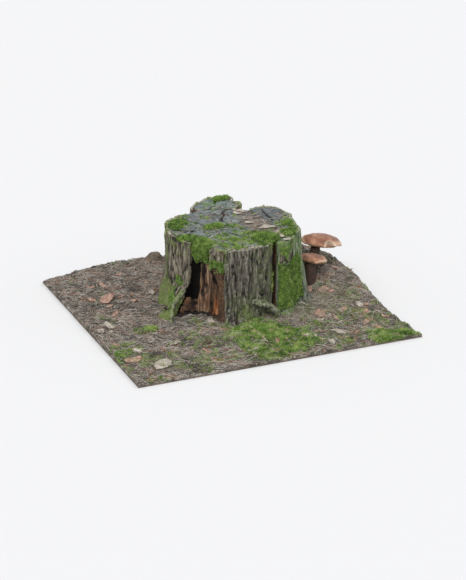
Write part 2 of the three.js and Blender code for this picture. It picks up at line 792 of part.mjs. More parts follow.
function addPiece(name, solid, finish) {
  const material = new THREE.MeshStandardMaterial({
    ...FINISH[finish],
    metalness: 0,
    flatShading: true,
  });
  const mesh = new THREE.Mesh(geometryFrom(solid), material);
  mesh.name = name;
  stump.add(mesh);
}

function addGround() {
  addPiece("soil_slab", soilSlab(), "soil");
  for (const [name, low, high] of LITTER_MATS) addPiece(name, litterMat(low, high), "litter");
  for (const [name, ...place] of MOSS_CARPETS) addPiece(name, mossCarpet(...place), "moss");
  addPiece("clod_back", clod(), "soil");
  for (const [name, values] of Object.entries(LEAVES)) addPiece(name, leaf(values), "leaf");
  for (const [name, values] of Object.entries(STICKS)) addPiece(name, stick(values), "stick");
}

function addStump() {
  addPiece("main_stem_wood", mainWood(), "wood");
  addPiece("right_stem_wood", rightWood(), "wood");
  addPiece("rear_stem_wood", rearWood(), "wood");
  for (const [name, stem, from, to] of BARK_PLATES) addPiece(name, barkPlate(stem, from, to), "bark");
  const standing = { proud: STAVE_PROUD, rise: STAVE_RISE };
  for (const [name, from, to] of STAVES) {
    addPiece(name, barkPlate(MAIN_STEM, from, to, standing), "stave");
  }
  addPiece("bark_cleft", barkPlate(MAIN_STEM, CLEFT.from, CLEFT.to, CLEFT), "bark");
  addPiece("root_foot_left", footRoot(), "bark");
  addPiece("root_knob_front", knobRoot(), "bark");
  addPiece("root_side_right", sideRoot(), "bark");
  addPiece("rot_core", rotCore(), "rot");
  addPiece("rot_crumble", rotCrumble(), "rot");
  addPiece("seam_litter", seamLitter(), "litter");
}

function addMoss() {
  for (const [name, stem, from, to, low, high, on] of MOSS_SHEETS) {
    addPiece(name, mossSheet(stem, from, to, low, high, on), "moss");
  }
  for (const [name, values] of Object.entries(MOSS_CUSHIONS)) {
    addPiece(name, mossCushion(values), "moss");
  }
}

function addMushrooms() {
  for (const [name, mushroom] of Object.entries(MUSHROOMS)) {
    addPiece("mushroom_" + name + "_cap", capSolid(mushroom), "cap");
    addPiece("mushroom_" + name + "_gills", gillSolid(mushroom), "gills");
    addPiece("mushroom_" + name + "_stem", clearOfStump(mushroomStem(mushroom)), "stalk");
  }
}

addGround();
addStump();
addMoss();
addMushrooms();

export default stump;
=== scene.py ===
"""The looks of a mossy tree stump on a square of forest floor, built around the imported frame.

Metres, +Z up. Each CAD node is stood for by a finer piece: wood and bark are remeshed and weathered,
the ground is a fine relief with loose needles, moss shoots, leaves and twigs lying on it.
"""
import json
import math

import bpy
import numpy as np
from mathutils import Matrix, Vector
from mathutils.bvhtree import BVHTree

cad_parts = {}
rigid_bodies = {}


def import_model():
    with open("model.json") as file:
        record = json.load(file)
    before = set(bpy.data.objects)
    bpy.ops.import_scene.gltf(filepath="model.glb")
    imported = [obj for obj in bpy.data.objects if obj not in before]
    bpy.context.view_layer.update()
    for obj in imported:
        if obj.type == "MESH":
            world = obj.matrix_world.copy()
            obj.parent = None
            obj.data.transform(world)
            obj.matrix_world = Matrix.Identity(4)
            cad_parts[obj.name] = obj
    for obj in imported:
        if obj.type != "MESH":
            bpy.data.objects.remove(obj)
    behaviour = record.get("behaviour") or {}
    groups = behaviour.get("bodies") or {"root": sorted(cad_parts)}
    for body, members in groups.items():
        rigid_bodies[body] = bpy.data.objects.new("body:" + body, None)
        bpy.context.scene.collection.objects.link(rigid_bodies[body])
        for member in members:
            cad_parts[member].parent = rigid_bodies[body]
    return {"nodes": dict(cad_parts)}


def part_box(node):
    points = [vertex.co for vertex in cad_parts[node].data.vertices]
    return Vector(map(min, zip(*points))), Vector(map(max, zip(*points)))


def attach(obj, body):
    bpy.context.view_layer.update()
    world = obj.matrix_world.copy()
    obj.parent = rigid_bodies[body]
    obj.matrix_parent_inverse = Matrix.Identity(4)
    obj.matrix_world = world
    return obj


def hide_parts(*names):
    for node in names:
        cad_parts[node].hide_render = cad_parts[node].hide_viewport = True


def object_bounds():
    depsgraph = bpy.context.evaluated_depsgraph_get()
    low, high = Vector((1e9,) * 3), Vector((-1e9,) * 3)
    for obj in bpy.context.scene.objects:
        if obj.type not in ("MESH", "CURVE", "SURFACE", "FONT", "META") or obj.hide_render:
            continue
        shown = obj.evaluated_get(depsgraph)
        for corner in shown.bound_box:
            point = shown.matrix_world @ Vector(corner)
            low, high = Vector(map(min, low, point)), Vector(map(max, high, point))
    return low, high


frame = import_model()
CAD_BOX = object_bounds()
NODES = frame["nodes"]
HALF_SIDE = round(CAD_BOX[1][0], 4)  # of the square patch of ground
FULL_TURN = 6.3  # radians, a little over a whole turn


# ---------- noise ----------
def lattice(i, j, k, seed):
    """A repeatable value from -1 to 1 for each lattice corner."""
    n = (i * 374761393 + j * 668265263 + k * 1442695041 + seed * 144665) & 0x7FFFFFFF
    n = ((n ^ (n >> 13)) * 1274126177) & 0x7FFFFFFF
    return ((n ^ (n >> 16)) & 0xFFFF) / 32767.5 - 1


def noise(points, seed=0):
    """Smooth value noise at points, an N by 3 array in lattice units."""
    cell = np.floor(points).astype(np.int64)
    t = points - cell
    t = t * t * (3 - 2 * t)
    total = np.zeros(len(points))
    for corner in range(8):
        d = [(corner >> axis) & 1 for axis in range(3)]
        weight = np.ones(len(points))
        for axis in range(3):
            weight *= t[:, axis] if d[axis] else 1 - t[:, axis]
        total += weight * lattice(cell[:, 0] + d[0], cell[:, 1] + d[1], cell[:, 2] + d[2], seed)
    return total


def fractal(points, octaves=4, gain=0.5, seed=0):
    total = np.zeros(len(points))
    size = 1.0
    for octave in range(octaves):
        total += size * noise(points * 2.03**octave + 17.3 * octave, seed + octave)
        size *= gain
    return total


def ridges(points, octaves=3, seed=0):
    """From 0 in a groove to 1 on a crest, with sharp grooves."""
    total = np.zeros(len(points))
    size = 1.0
    for octave in range(octaves):
        total += size * np.abs(noise(points * 2.1**octave, seed + octave))
        size *= 0.5
    return np.clip(total * 1.15, 0, 1)


def smoothstep(low, high, x):
    t = np.clip((x - low) / (high - low), 0, 1)
    return t * t * (3 - 2 * t)


def patchy(co, scale, seed, threshold):
    """From 0 to 1 in soft-edged patches, fewer where the threshold is high."""
    return smoothstep(threshold - 0.25, threshold + 0.25, fractal(co * scale, 3, seed=seed))


# ---------- meshes ----------
def new_object(name, vertices, faces_by_size, tints=None):
    """An object from vertices and lists of equal-sized faces."""
    mesh = bpy.data.meshes.new(name)
    loops = np.concatenate([np.asarray(f, np.int64).ravel() for f in faces_by_size])
    sizes = np.concatenate([np.full(len(f), np.shape(f)[1]) for f in faces_by_size])
    mesh.vertices.add(len(vertices))
    mesh.vertices.foreach_set("co", np.asarray(vertices, np.float32).ravel())
    mesh.loops.add(len(loops))
    mesh.loops.foreach_set("vertex_index", loops.astype(np.int32))
    mesh.polygons.add(len(sizes))
    starts = np.concatenate([[0], np.cumsum(sizes)[:-1]])
    mesh.polygons.foreach_set("loop_start", starts.astype(np.int32))
    mesh.update(calc_edges=True)
    mesh.validate()
    mesh.polygons.foreach_set("use_smooth", np.ones(len(mesh.polygons), bool))
    thing = bpy.data.objects.new(name, mesh)
    bpy.context.scene.collection.objects.link(thing)
    if tints is not None:
        store(thing, "tint", tints)
    return thing


def store(thing, name, values):
    """Keeps one number per vertex on a piece, for its material to read."""
    attribute = thing.data.attributes.new(name, "FLOAT", "POINT")
    attribute.data.foreach_set("value", np.asarray(values, np.float32))


def points_of(thing, kind="co"):
    values = np.zeros(len(thing.data.vertices) * 3, np.float32)
    thing.data.vertices.foreach_get(kind, values)
    return values.reshape(-1, 3).astype(float)


def normals_of(thing):
    return points_of(thing, "normal")


def move_points(thing, co):
    thing.data.vertices.foreach_set("co", co.astype(np.float32).ravel())
    thing.data.update()


def shaped(thing, changes):
    """Applies modifiers, given as (type, values), to a new object's mesh."""
    for kind, values in changes:
        modifier = thing.modifiers.new(kind.lower(), kind)
        for key, value in values.items():
            setattr(modifier, key, value)
    bpy.context.view_layer.update()
    evaluated = thing.evaluated_get(bpy.context.evaluated_depsgraph_get())
    mesh = bpy.data.meshes.new_from_object(evaluated)
    thing.modifiers.clear()
    thing.data = mesh
    return thing


def gathered(things):
    """Vertices and faces of several objects as one, and the number of the object that each face is of."""
    vertices, faces, owner = [], [], []
    for number, thing in enumerate(things):
        offset = len(vertices)
        vertices += [v.co.copy() for v in thing.data.vertices]
        faces += [[offset + i for i in p.vertices] for p in thing.data.polygons]
        owner += [number] * len(thing.data.polygons)
    return vertices, faces, owner


def caster(things):
    """A tree for rays over several objects, and the number of the object that each face is of."""
    vertices, faces, owner = gathered(things)
    return BVHTree.FromPolygons(vertices, faces), owner


def remeshed(name, nodes, voxel, smoothing):
    """One fine even skin over copies of CAD nodes, with their facets eased away."""
    vertices, faces, _ = gathered([NODES[node] for node in nodes])
    mesh = bpy.data.meshes.new(name)
    mesh.from_pydata(vertices, [], faces)
    thing = bpy.data.objects.new(name, mesh)
    bpy.context.scene.collection.objects.link(thing)
    weld = ("WELD", {"merge_threshold": 1e-5})
    skin = ("REMESH", {"mode": "VOXEL", "voxel_size": voxel})
    shaped(thing, [weld, skin, ("SMOOTH", {"factor": 0.5, "iterations": smoothing})])
    thing.data.polygons.foreach_set("use_smooth", np.ones(len(thing.data.polygons), bool))
    return thing


def tubes(paths, radii, sides=3):
    """Closed tapering tubes. paths is N by K by 3, radii N by K. Returns vertices and faces by size."""
    count, steps, _ = paths.shape
    along = np.gradient(paths, axis=1)
    along /= np.linalg.norm(along, axis=2, keepdims=True) + 1e-12
    upright = np.abs(along[..., 2:]) > 0.9
    reference = np.where(upright, [1.0, 0.0, 0.0], [0.0, 0.0, 1.0])
    side = np.cross(along, reference)
    side /= np.linalg.norm(side, axis=2, keepdims=True) + 1e-12
    top = np.cross(side, along)
    turns = 2 * np.pi * np.arange(sides) / sides + np.pi / 2
    ring = side[:, :, None] * np.cos(turns)[:, None] + top[:, :, None] * np.sin(turns)[:, None]
    vertices = (paths[:, :, None] + ring * radii[:, :, None, None]).reshape(-1, 3)
    base = (np.arange(count) * steps * sides)[:, None, None]
    row = (np.arange(steps - 1) * sides)[None, :, None]
    here = base + row + np.arange(sides)
    there = base + row + (np.arange(sides) + 1) % sides
    quads = np.stack([there, here, here + sides, there + sides], -1).reshape(-1, 4)
    first = base[:, 0] + np.arange(sides)
    last = base[:, 0] + (steps - 1) * sides + np.arange(sides)[::-1]
    return vertices, [quads, np.concatenate([first, last])]


def joined(parts):
    """Vertices, faces by size and tints of several parts as one."""
    vertices, tints = [], []
    by_size = {}
    offset = 0
    for part_vertices, part_faces, part_tints in parts:
        for faces in part_faces:
            faces = np.asarray(faces)
            by_size.setdefault(faces.shape[1], []).append(faces + offset)
        vertices.append(part_vertices)
        tints.append(part_tints)
        offset += len(part_vertices)
    faces = [np.concatenate(by_size[size]) for size in sorted(by_size)]
    return np.concatenate(vertices), faces, np.concatenate(tints)


def finished(thing, material, slot, *nodes):
    """Gives a piece its material and body, and hides the CAD nodes it stands for; slot is not used."""
    thing.data.materials.clear()
    for one in material if isinstance(material, list) else [material]:
        thing.data.materials.append(one)
    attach(thing, "root")
    if nodes:
        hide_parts(*nodes)
    return thing


def joined_piece(name, parts, material, slot, *nodes):
    return finished(new_object(name, *joined(parts)), material, slot, *nodes)


# ---------- materials ----------
def linear(colour):
    """A linear colour from a hex one."""
    values = [int(colour[i : i + 2], 16) / 255 for i in (1, 3, 5)]
    return [v / 12.92 if v <= 0.04045 else ((v + 0.055) / 1.055) ** 2.4 for v in values] + [1.0]


class Finish:
    """A Principled material and short ways to feed it."""

    def __init__(self, name, roughness):
        self.material = bpy.data.materials.new(name)
        self.material.use_nodes = True
        self.tree = self.material.node_tree
        self.shader = self.tree.nodes["Principled BSDF"]
        self.shader.inputs["Roughness"].default_value = roughness
        self.place = self.tree.nodes.new("ShaderNodeTexCoord").outputs["Object"]

    def node(self, kind, **inputs):
        made = self.tree.nodes.new(kind)
        for key, value in inputs.items():
            self.feed(made.inputs[key.replace("_", " ")], value)
        return made

    def feed(self, socket, value):
        if isinstance(value, bpy.types.NodeSocket):
            self.tree.links.new(value, socket)
        else:
            socket.default_value = value

    def stretched(self, x, y, z):
        return self.node("ShaderNodeMapping", Vector=self.place, Scale=(x, y, z)).outputs[0]

    def noise(self, scale, detail, place=None):
        place = place or self.place
        made = self.node("ShaderNodeTexNoise", Vector=place, Scale=scale, Detail=detail, Roughness=0.55)
        return made.outputs["Fac"]

    def maths(self, operation, *values):
        made = self.tree.nodes.new("ShaderNodeMath")
        made.operation = operation
        for socket, value in zip(made.inputs, values):
            self.feed(socket, value)
        return made.outputs[0]

    def kept(self, name):
        made = self.tree.nodes.new("ShaderNodeAttribute")
        made.attribute_name = name
        return made.outputs["Fac"]

    def ramp(self, value, *stops):
        made = self.node("ShaderNodeValToRGB", Fac=value)
        elements = made.color_ramp.elements
        while len(elements) < len(stops):
            elements.new(0.5)
        for element, (at, colour) in zip(elements, stops):
            element.position = at
            element.color = linear(colour)
        return made.outputs["Color"]

    def levels(self, value, low, high):
        return self.node("ShaderNodeMapRange", Value=value, From_Min=low, From_Max=high).outputs["Result"]

    def darkened(self, one, other):
        """One colour times another."""
        return self.mixed(1.0, one, other, "MULTIPLY")

    def mixed(self, share, one, other, kind="MIX"):
        made = self.tree.nodes.new("ShaderNodeMix")
        made.data_type = "RGBA"
        made.blend_type = kind
        self.feed(made.inputs[0], share)
        self.feed(made.inputs[6], linear(one) if isinstance(one, str) else one)
        self.feed(made.inputs[7], linear(other) if isinstance(other, str) else other)
        return made.outputs[2]

    def colour(self, socket):
        self.tree.links.new(socket, self.shader.inputs["Base Color"])

    def bump(self, height, strength, distance):
        made = self.node("ShaderNodeBump", Height=height, Strength=strength, Distance=distance)
        self.tree.links.new(made.outputs[0], self.shader.inputs["Normal"])

    def roughness(self, value, low, high):
        made = self.node("ShaderNodeMapRange", Value=value, To_Min=low, To_Max=high)
        self.tree.links.new(made.outputs[0], self.shader.inputs["Roughness"])


def weathered(name, dark, middle, pale, green, stretch, scale):
    """Wood or bark: darkened in its grooves as painted shade, pale where sawn, green where the mesh keeps
    moss or algae.
    """
    finish = Finish(name, 0.9)
    grain = finish.noise(scale, 6, finish.stretched(*stretch))
    colour = finish.ramp(grain, (0.35, dark), (0.5, middle), (0.66, pale))
    blotch = finish.levels(finish.noise(9, 3), 0.35, 0.7)
    colour = finish.mixed(blotch, colour, finish.mixed(0.35, colour, middle))
    # Painted shade: the colour is darkened in the grooves, where the kept depth is low.
    groove = finish.kept("depth")
    colour = finish.mixed(groove, finish.darkened(colour, "#36322c"), colour)
    sawn = finish.ramp(grain, (0.35, "#8d887b"), (0.65, "#bab4a6"))
    colour = finish.mixed(finish.kept("sawn"), colour, sawn)
    leafy = finish.ramp(finish.noise(240, 4), (0.32, green[0]), (0.62, green[1]))
    colour = finish.mixed(finish.kept("moss"), colour, leafy)
    finish.colour(colour)
    finish.bump(finish.noise(scale * 3, 5, finish.stretched(*stretch)), 0.5, 0.002)
    finish.roughness(grain, 0.95, 0.78)
    return finish.material


def strands(name, stops, roughness=0.85):
    """Loose strands, shoots or chips: each has its own colour by its tint, with a little change along it."""
    finish = Finish(name, roughness)
    colour = finish.ramp(finish.kept("tint"), *stops)
    streak = finish.levels(finish.noise(300, 3), 0.3, 0.7)
    shade = finish.ramp(streak, (0.0, "#a8a8a8"), (1.0, "#ffffff"))
    finish.colour(finish.mixed(0.25, colour, finish.darkened(colour, shade)))
    finish.bump(streak, 0.3, 0.0005)
    return finish.material


# ---------- the ground ----------
LITTER_NODES = ["needle_mat_left", "needle_mat_right", "needle_mat_back"]
CARPET_NODES = ["moss_carpet_front", "moss_carpet_corner", "moss_tuft_left", "moss_tuft_front_left"]
LITTER = 0.0054  # the litter's thickness over the soil
FINE_CELL, COARSE_CELL = 0.005, 0.011  # of the grids for the litter and for the soil
UNDERLAP = 0.0004  # from the soil's top up to the litter's underside
ABOVE = 1  # a height over everything, to cast rays down from
DOWN = Vector((0, 0, -1))


def spread(grid, times, known):
    """Fills unknown cells from their neighbours, a ring at a time."""
    grid, known = grid.copy(), known.copy()
    for _ in range(times):
        total = np.zeros(grid.shape)
        count = np.zeros(grid.shape)
        for axis in (0, 1):
            for step in (1, -1):
                near = np.roll(known, step, axis)
                total += np.where(near, np.roll(grid, step, axis), 0)
                count += near
        fresh = ~known & (count > 0)
        grid[fresh] = (total / np.maximum(count, 1))[fresh]
        known |= fresh
    return grid, known


def eased(grid, reach, times=2):
    """The grid blurred evenly over a few cells."""
    for _ in range(times):
        for axis in (0, 1):
            padded = np.pad(grid, [(reach, reach) if a == axis else (0, 0) for a in (0, 1)], "edge")
            window = np.lib.stride_tricks.sliding_window_view(padded, 2 * reach + 1, axis=axis)
            grid = window.mean(axis=-1)
    return grid


class Ground:
    """The litter's surface as heights over an even grid, eased from the facets of the soil below."""

    def __init__(self, cell):
        low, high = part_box("soil_slab")
        self.low, self.side = low[0], high[0] - low[0]
        self.count = round(self.side / cell)
        self.cell = self.side / self.count
        self.axis = self.low + self.cell * np.arange(self.count + 1)
        inset = np.clip(self.axis, self.low + 2e-4, -self.low - 2e-4)
        soil, _ = caster([NODES["soil_slab"]])
        heights = np.full((self.count + 1, self.count + 1), np.nan)
        for j, y in enumerate(inset):
            for i, x in enumerate(inset):
                hit = soil.ray_cast(Vector((x, y, ABOVE)), DOWN)[0]
                if hit is not None:
                    heights[j, i] = hit.z
        self.open = ~np.isnan(heights)
        filled, _ = spread(np.nan_to_num(heights), self.count, self.open)
        self.base = eased(filled, max(1, round(0.02 / self.cell))) + LITTER
        self.x, self.y = np.meshgrid(self.axis, self.axis)
        self.near = eased(1.0 - self.open, max(1, round(0.02 / self.cell)))

    def relief(self, x, y):
        """The litter's own unevenness: heaps and hollows, large and small."""
        flat = np.stack([x.ravel(), y.ravel(), np.zeros(x.size)], 1)
        heaps = 0.0045 * fractal(flat * 22, 3, seed=5) + 0.0034 * fractal(flat * 80, 3, seed=9)
        return heaps.reshape(x.shape)

    def looked_up(self, grid, x, y):
        u = np.clip((x - self.low) / self.cell, 0, self.count - 1e-6)
        v = np.clip((y - self.low) / self.cell, 0, self.count - 1e-6)
        i, j = u.astype(int), v.astype(int)
        s, t = u - i, v - j
        low = grid[j, i] * (1 - s) + grid[j, i + 1] * s
        high = grid[j + 1, i] * (1 - s) + grid[j + 1, i + 1] * s
        return low * (1 - t) + high * t

    def height(self, x, y):
        return self.looked_up(self.base, x, y) + self.relief(x, y) + self.looked_up(self.lift, x, y)

    def clear(self, x, y):
        """How far a place is from the stump's stems: 0 inside them and 1 well away."""
        return 1 - self.looked_up(self.near, x, y)

    def owners(self):
        """Which ground node each cell belongs to, run three cells on under the stump's foot."""
        nodes = LITTER_NODES + CARPET_NODES
        tree, owner = caster([NODES[node] for node in nodes])
        middles = self.axis[:-1] + self.cell / 2
        cells = np.full((self.count, self.count), -1)
        for j, y in enumerate(middles):
            for i, x in enumerate(middles):
                hit = tree.ray_cast(Vector((x, y, ABOVE)), DOWN)
                if hit[0] is not None:
                    cells[j, i] = owner[hit[2]]
        for _ in range(3):
            for axis in (0, 1):
                for step in (1, -1):
                    near = np.roll(cells, step, axis)
                    cells = np.where((cells < 0) & (near >= 0), near, cells)
        carpet = np.zeros(self.base.shape)
        carpet[:-1, :-1] = cells >= len(LITTER_NODES)
        carpet = eased(carpet, 3, 1)
        lumps = fractal(np.stack([self.x.ravel(), self.y.ravel(), 0 * self.x.ravel()], 1) * 45, 3, seed=21)
        lumps = lumps.reshape(carpet.shape)
        self.lift = smoothstep(0.45, 1.0, carpet) * (0.0055 + 0.003 * lumps)
        return {node: cells == number for number, node in enumerate(nodes)}


def terrain(name, ground, cells, top, bottom):
    """A closed relief over the chosen cells of a ground grid, between two heights at their corners."""
    rows, columns = np.nonzero(cells)
    used = np.zeros(ground.base.shape, bool)
    for down in (0, 1):
        for right in (0, 1):
            used[rows + down, columns + right] = True
    index = np.full(ground.base.shape, -1)
    count = used.sum()
    index[used] = np.arange(count)
    flat = [ground.x[used], ground.y[used]]
    vertices = np.concatenate([np.stack([*flat, top[used]], 1), np.stack([*flat, bottom[used]], 1)])
    a, b = index[rows, columns], index[rows, columns + 1]
    c, d = index[rows + 1, columns + 1], index[rows + 1, columns]
    quads = [np.stack([a, b, c, d], 1), np.stack([d, c, b, a], 1) + count]
    edged = np.pad(cells, 1)
    for side, (start, end) in {(-1, 0): (a, b), (0, 1): (b, c), (1, 0): (c, d), (0, -1): (d, a)}.items():
        bare = ~edged[rows + 1 + side[0], columns + 1 + side[1]]
        s, e = start[bare], end[bare]
        quads.append(np.stack([s + count, e + count, e, s], 1))
    return new_object(name, vertices, [np.concatenate(quads)])


def ground_pieces():
    fine = Ground(FINE_CELL)
    owned = fine.owners()
    top = fine.base + fine.relief(fine.x, fine.y) + fine.lift
    bottom = fine.base - LITTER
    for node in LITTER_NODES:
        piece = terrain(node.replace("needle_mat", "litter"), fine, owned[node], top, bottom)
        finished(piece, LITTER_FINISH, "litter", node)
    for node in CARPET_NODES:
        piece = terrain(node + "_base", fine, owned[node], top, bottom)
        finished(piece, CARPET_FINISH, "ground_moss", node)
    coarse = Ground(COARSE_CELL)
    cells = coarse.open[:-1, :-1] & coarse.open[1:, 1:] & coarse.open[:-1, 1:] & coarse.open[1:, :-1]
    soil_top = coarse.base - LITTER - UNDERLAP
    soil = terrain("soil", coarse, cells, soil_top, np.zeros(soil_top.shape))
    finished(soil, SOIL_FINISH, "soil", "soil_slab")
    return fine


def ground_finish(name, stops, twiggy):
    """Litter, carpet or soil: two sizes of speckle, with fine strands laid both ways."""
    finish = Finish(name, 0.95)
    speckle = finish.noise(260, 4)
    value = finish.maths("MULTIPLY_ADD", speckle, 0.75, finish.maths("MULTIPLY", finish.noise(28, 5), 0.7))
    colour = finish.ramp(finish.levels(value, 0.56, 0.88), *stops)
    strand = finish.levels(finish.noise(120, 3, finish.stretched(1, 9, 1)), 0.56, 0.66)
    across = finish.levels(finish.noise(120, 3, finish.stretched(9, 1, 1)), 0.58, 0.68)
    colour = finish.mixed(strand, colour, twiggy[0])
    colour = finish.mixed(across, colour, twiggy[1])
    finish.colour(colour)
    finish.bump(value, 0.6, 0.003)
    finish.roughness(speckle, 1.0, 0.85)
    return finish.material


SOIL_FINISH = ground_finish(
    "soil", [(0.0, "#3a3128"), (0.5, "#61564a"), (1.0, "#877b6c")], ("#786a5a", "#4f453a")
)
LITTER_FINISH = ground_finish(
    "litter",
    [(0.0, "#1e1b17"), (0.35, "#443f37"), (0.65, "#777067"), (1.0, "#b2aa9e")],
    ("#9d958a", "#585047"),
)
CARPET_FINISH = ground_finish(
    "moss carpet",
    [(0.0, "#1b230a"), (0.4, "#374a16"), (0.7, "#56702a"), (1.0, "#7d8049")],
    ("#56692b", "#6a6547"),
)


# ---------- loose litter ----------
NEEDLE_LENGTH = (0.028, 0.058)
NEEDLE_RADIUS = 0.00072
NEEDLE_TAPER = np.array([0.8, 1.0, 0.9, 0.35])


def edge_kept(x, y, past=0.002):
    """Whether a place is on the patch, or no more than a little past its edge."""
    return (np.abs(x) < HALF_SIDE + past) & (np.abs(y) < HALF_SIDE + past)


def laid(x, y, along, aside, turn):
    """Places reached from x and y by going along and aside of a turned line."""
    cos, sin = np.cos(turn), np.sin(turn)
    return x + along * cos - aside * sin, y + along * sin + aside * cos


def random_tints(rng, count, middle=0.5, spread=0.25):
    return np.clip(rng.normal(middle, spread, count), 0, 1)


def strewn(rng, count, ground, clear=0.55, weight=None):
    """Random places on the ground off the stump, denser where the weight is larger."""
    places = np.zeros((0, 2))
    while len(places) < count:
        p = rng.uniform(0.001 - HALF_SIDE, HALF_SIDE - 0.001, (count * 2, 2))
        keep = ground.clear(p[:, 0], p[:, 1]) > clear
        if weight:
            keep &= rng.random(len(p)) < weight(p[:, 0], p[:, 1])
        places = np.concatenate([places, p[keep]])
    return places[:count]


def needle_paths(rng, places, ground):
    """Slightly bent paths lying on the ground at the places, most of them in pairs from one base."""
    count = len(places)
    turn = rng.uniform(0, 2 * np.pi, count)
    paired = np.arange(count) % 2 == 1
    turn[paired] = turn[np.nonzero(paired)[0] - 1] + rng.normal(0, 0.12, paired.sum())
    places = places.copy()
    places[paired] = places[np.nonzero(paired)[0] - 1]
    size = rng.uniform(*NEEDLE_LENGTH, count)[:, None]
    bend = rng.normal(0, 0.12, count)[:, None]
    t = np.linspace(0, 1, len(NEEDLE_TAPER))[None]
    along = t * size
    x, y = laid(places[:, :1], places[:, 1:], along, bend * size * t**2, turn[:, None])
    z = ground.height(x, y) + 0.0006
    z = z + rng.random((count, 1)) ** 2 * 0.004 + rng.normal(0, 0.05, (count, 1)) * along * 0.5
    floor = ground.height(x, y) - 0.0005
    path = np.stack([x, y, np.maximum(z, floor)], -1)
    inside = edge_kept(x, y).all(1) & (ground.clear(x, y).min(1) > 0.35)
    return path[inside]


def strand_piece(name, paths, radii, tints, material, slot):
    """Closed tubes along the paths, each with its own tint, as one piece."""
    vertices, faces = tubes(paths, radii)
    each = len(vertices) // len(paths)
    finished(new_object(name, vertices, faces, np.repeat(tints, each)), material, slot)


def loose_needles(name, rng, ground, count, side):
    """Needles on one side of the patch. side weighs each place."""
    paths = needle_paths(rng, strewn(rng, count, ground, weight=side), ground)
    radii = NEEDLE_RADIUS * rng.uniform(0.8, 1.25, (len(paths), 1)) * NEEDLE_TAPER
    tint = random_tints(rng, len(paths), 0.5, 0.28)
    patch = 0.22 * noise(paths[:, 0] * 14, 3) + 0.4 * noise(paths[:, 0] * 60, 8)
    strand_piece(name, paths, radii, np.clip(tint + patch, 0, 1), NEEDLE_FINISH, "litter")


def chips(rng, places, heights, size):
    """Small flat crumbs with uneven outlines, each a thin closed plate tipped its own way."""
    count, sides, thickness = len(places), 5, 0.0009
    turns = 2 * np.pi * (np.arange(sides) + rng.uniform(-0.25, 0.25, (count, sides))) / sides
    reach = rng.uniform(*size, (count, 1)) * rng.uniform(0.55, 1.0, (count, sides)) / 2
    stretch = rng.uniform(0.45, 1.0, (count, 1))
    spin = rng.uniform(0, 2 * np.pi, (count, 1))
    a, b = reach * np.cos(turns), reach * np.sin(turns) * stretch
    x, y = a * np.cos(spin) - b * np.sin(spin), a * np.sin(spin) + b * np.cos(spin)
    slope = rng.normal(0, 0.35, (count, 2))
    z = x * slope[:, :1] + y * slope[:, 1:] + heights[:, None]
    z += rng.normal(0, 0.06, z.shape) * reach
    ring = np.stack([x + places[:, :1], y + places[:, 1:], z], -1)
    high = ring + [0, 0, thickness]
    vertices = np.stack([ring, high], 1).reshape(-1, 3)
    base = (np.arange(count) * 2 * sides)[:, None]
    low_ring, high_ring = base + np.arange(sides), base + sides + np.arange(sides)
    around = np.roll(np.arange(sides), -1)
    walls = np.stack([low_ring, low_ring[:, around], high_ring[:, around], high_ring], -1).reshape(-1, 4)
    tints = np.repeat(random_tints(rng, count), 2 * sides)
    return vertices, [walls, np.concatenate([low_ring[:, ::-1], high_ring])], tints


def leaf_mesh(rng, at, size, turn, curl, lobes, height):
    """One dry leaf: a thin closed sheet with a midrib, cupped sides and a wavy rim."""
    long, wide = size
    rows, columns = 19, 11
    t = np.linspace(0, 1, rows)[:, None]
    s = np.linspace(-1, 1, columns)[None]
    edge = np.sin(np.pi * (0.035 + 0.93 * t**0.75)) ** 0.75
    edge = edge * (1 + lobes * np.sin(t * 26) + 0.05 * rng.normal(0, 1, (rows, 1)))
    along = (t - 0.5) * long + 0 * s
    across = s * edge * wide / 2
    phase = rng.uniform(0, 6, 3)
    cup = curl * np.abs(s) ** 1.6 * (0.7 + 0.5 * np.sin(3.5 * t + phase[0]))
    wave = 0.12 * curl * np.sin(7 * t + phase[1]) * np.sin(2.5 * s + phase[2])
    rib = -0.0009 * np.exp(-((s / 0.12) ** 2))
    arch = curl * 0.8 * (2 * t - 1) ** 2 * rng.uniform(-0.2, 1)
    veins = 0.0003 * np.sin(t * 44 + np.abs(s) * 9)
    x, y = laid(*at, along, across, turn)
    floor = height(x, y)
    z = floor + 0.001 + cup + wave + rib + arch + veins
    sheet = np.stack([x, y, np.maximum(z, floor + 0.0002)], -1)
    under = sheet - [0, 0, 0.0006]
    vertices = np.concatenate([sheet.reshape(-1, 3), under.reshape(-1, 3)])
    i = np.arange(rows * columns).reshape(rows, columns)
    a, b, c, d = i[:-1, :-1], i[1:, :-1], i[1:, 1:], i[:-1, 1:]
    quads = [np.stack([a, b, c, d], -1).reshape(-1, 4)]
    quads.append(np.stack([d, c, b, a], -1).reshape(-1, 4) + rows * columns)
    rim = np.concatenate([i[:, 0][::-1], i[0, 1:], i[1:, -1], i[-1, -2:0:-1]])
    follow = np.roll(rim, -1)
    quads.append(np.stack([rim, follow, follow + rows * columns, rim + rows * columns], -1))
    share = np.concatenate([(np.abs(s) + 0 * t).ravel()] * 2)
    return vertices, [np.concatenate(quads)], share


# ---------- moss ----------
def over(thing, count, rng, wanted):
    """Random points and normals over a piece, evenly by area and by how much each place is wanted."""
    mesh = thing.data
    mesh.calc_loop_triangles()
    corners = np.zeros(len(mesh.loop_triangles) * 3, np.int32)
    mesh.loop_triangles.foreach_get("vertices", corners)
    p = points_of(thing)[corners.reshape(-1, 3)]
    cross = np.cross(p[:, 1] - p[:, 0], p[:, 2] - p[:, 0])
    size = np.linalg.norm(cross, axis=1)
    normal = cross / np.maximum(size, 1e-12)[:, None]
    weight = size * wanted(p.mean(1), normal)
    pick = rng.choice(len(size), count, p=weight / weight.sum())
    u, v = np.sort(rng.random((2, count)), axis=0)
    at = p[pick, 0] * u[:, None] + p[pick, 1] * (v - u)[:, None] + p[pick, 2] * (1 - v)[:, None]
    return at, normal[pick]


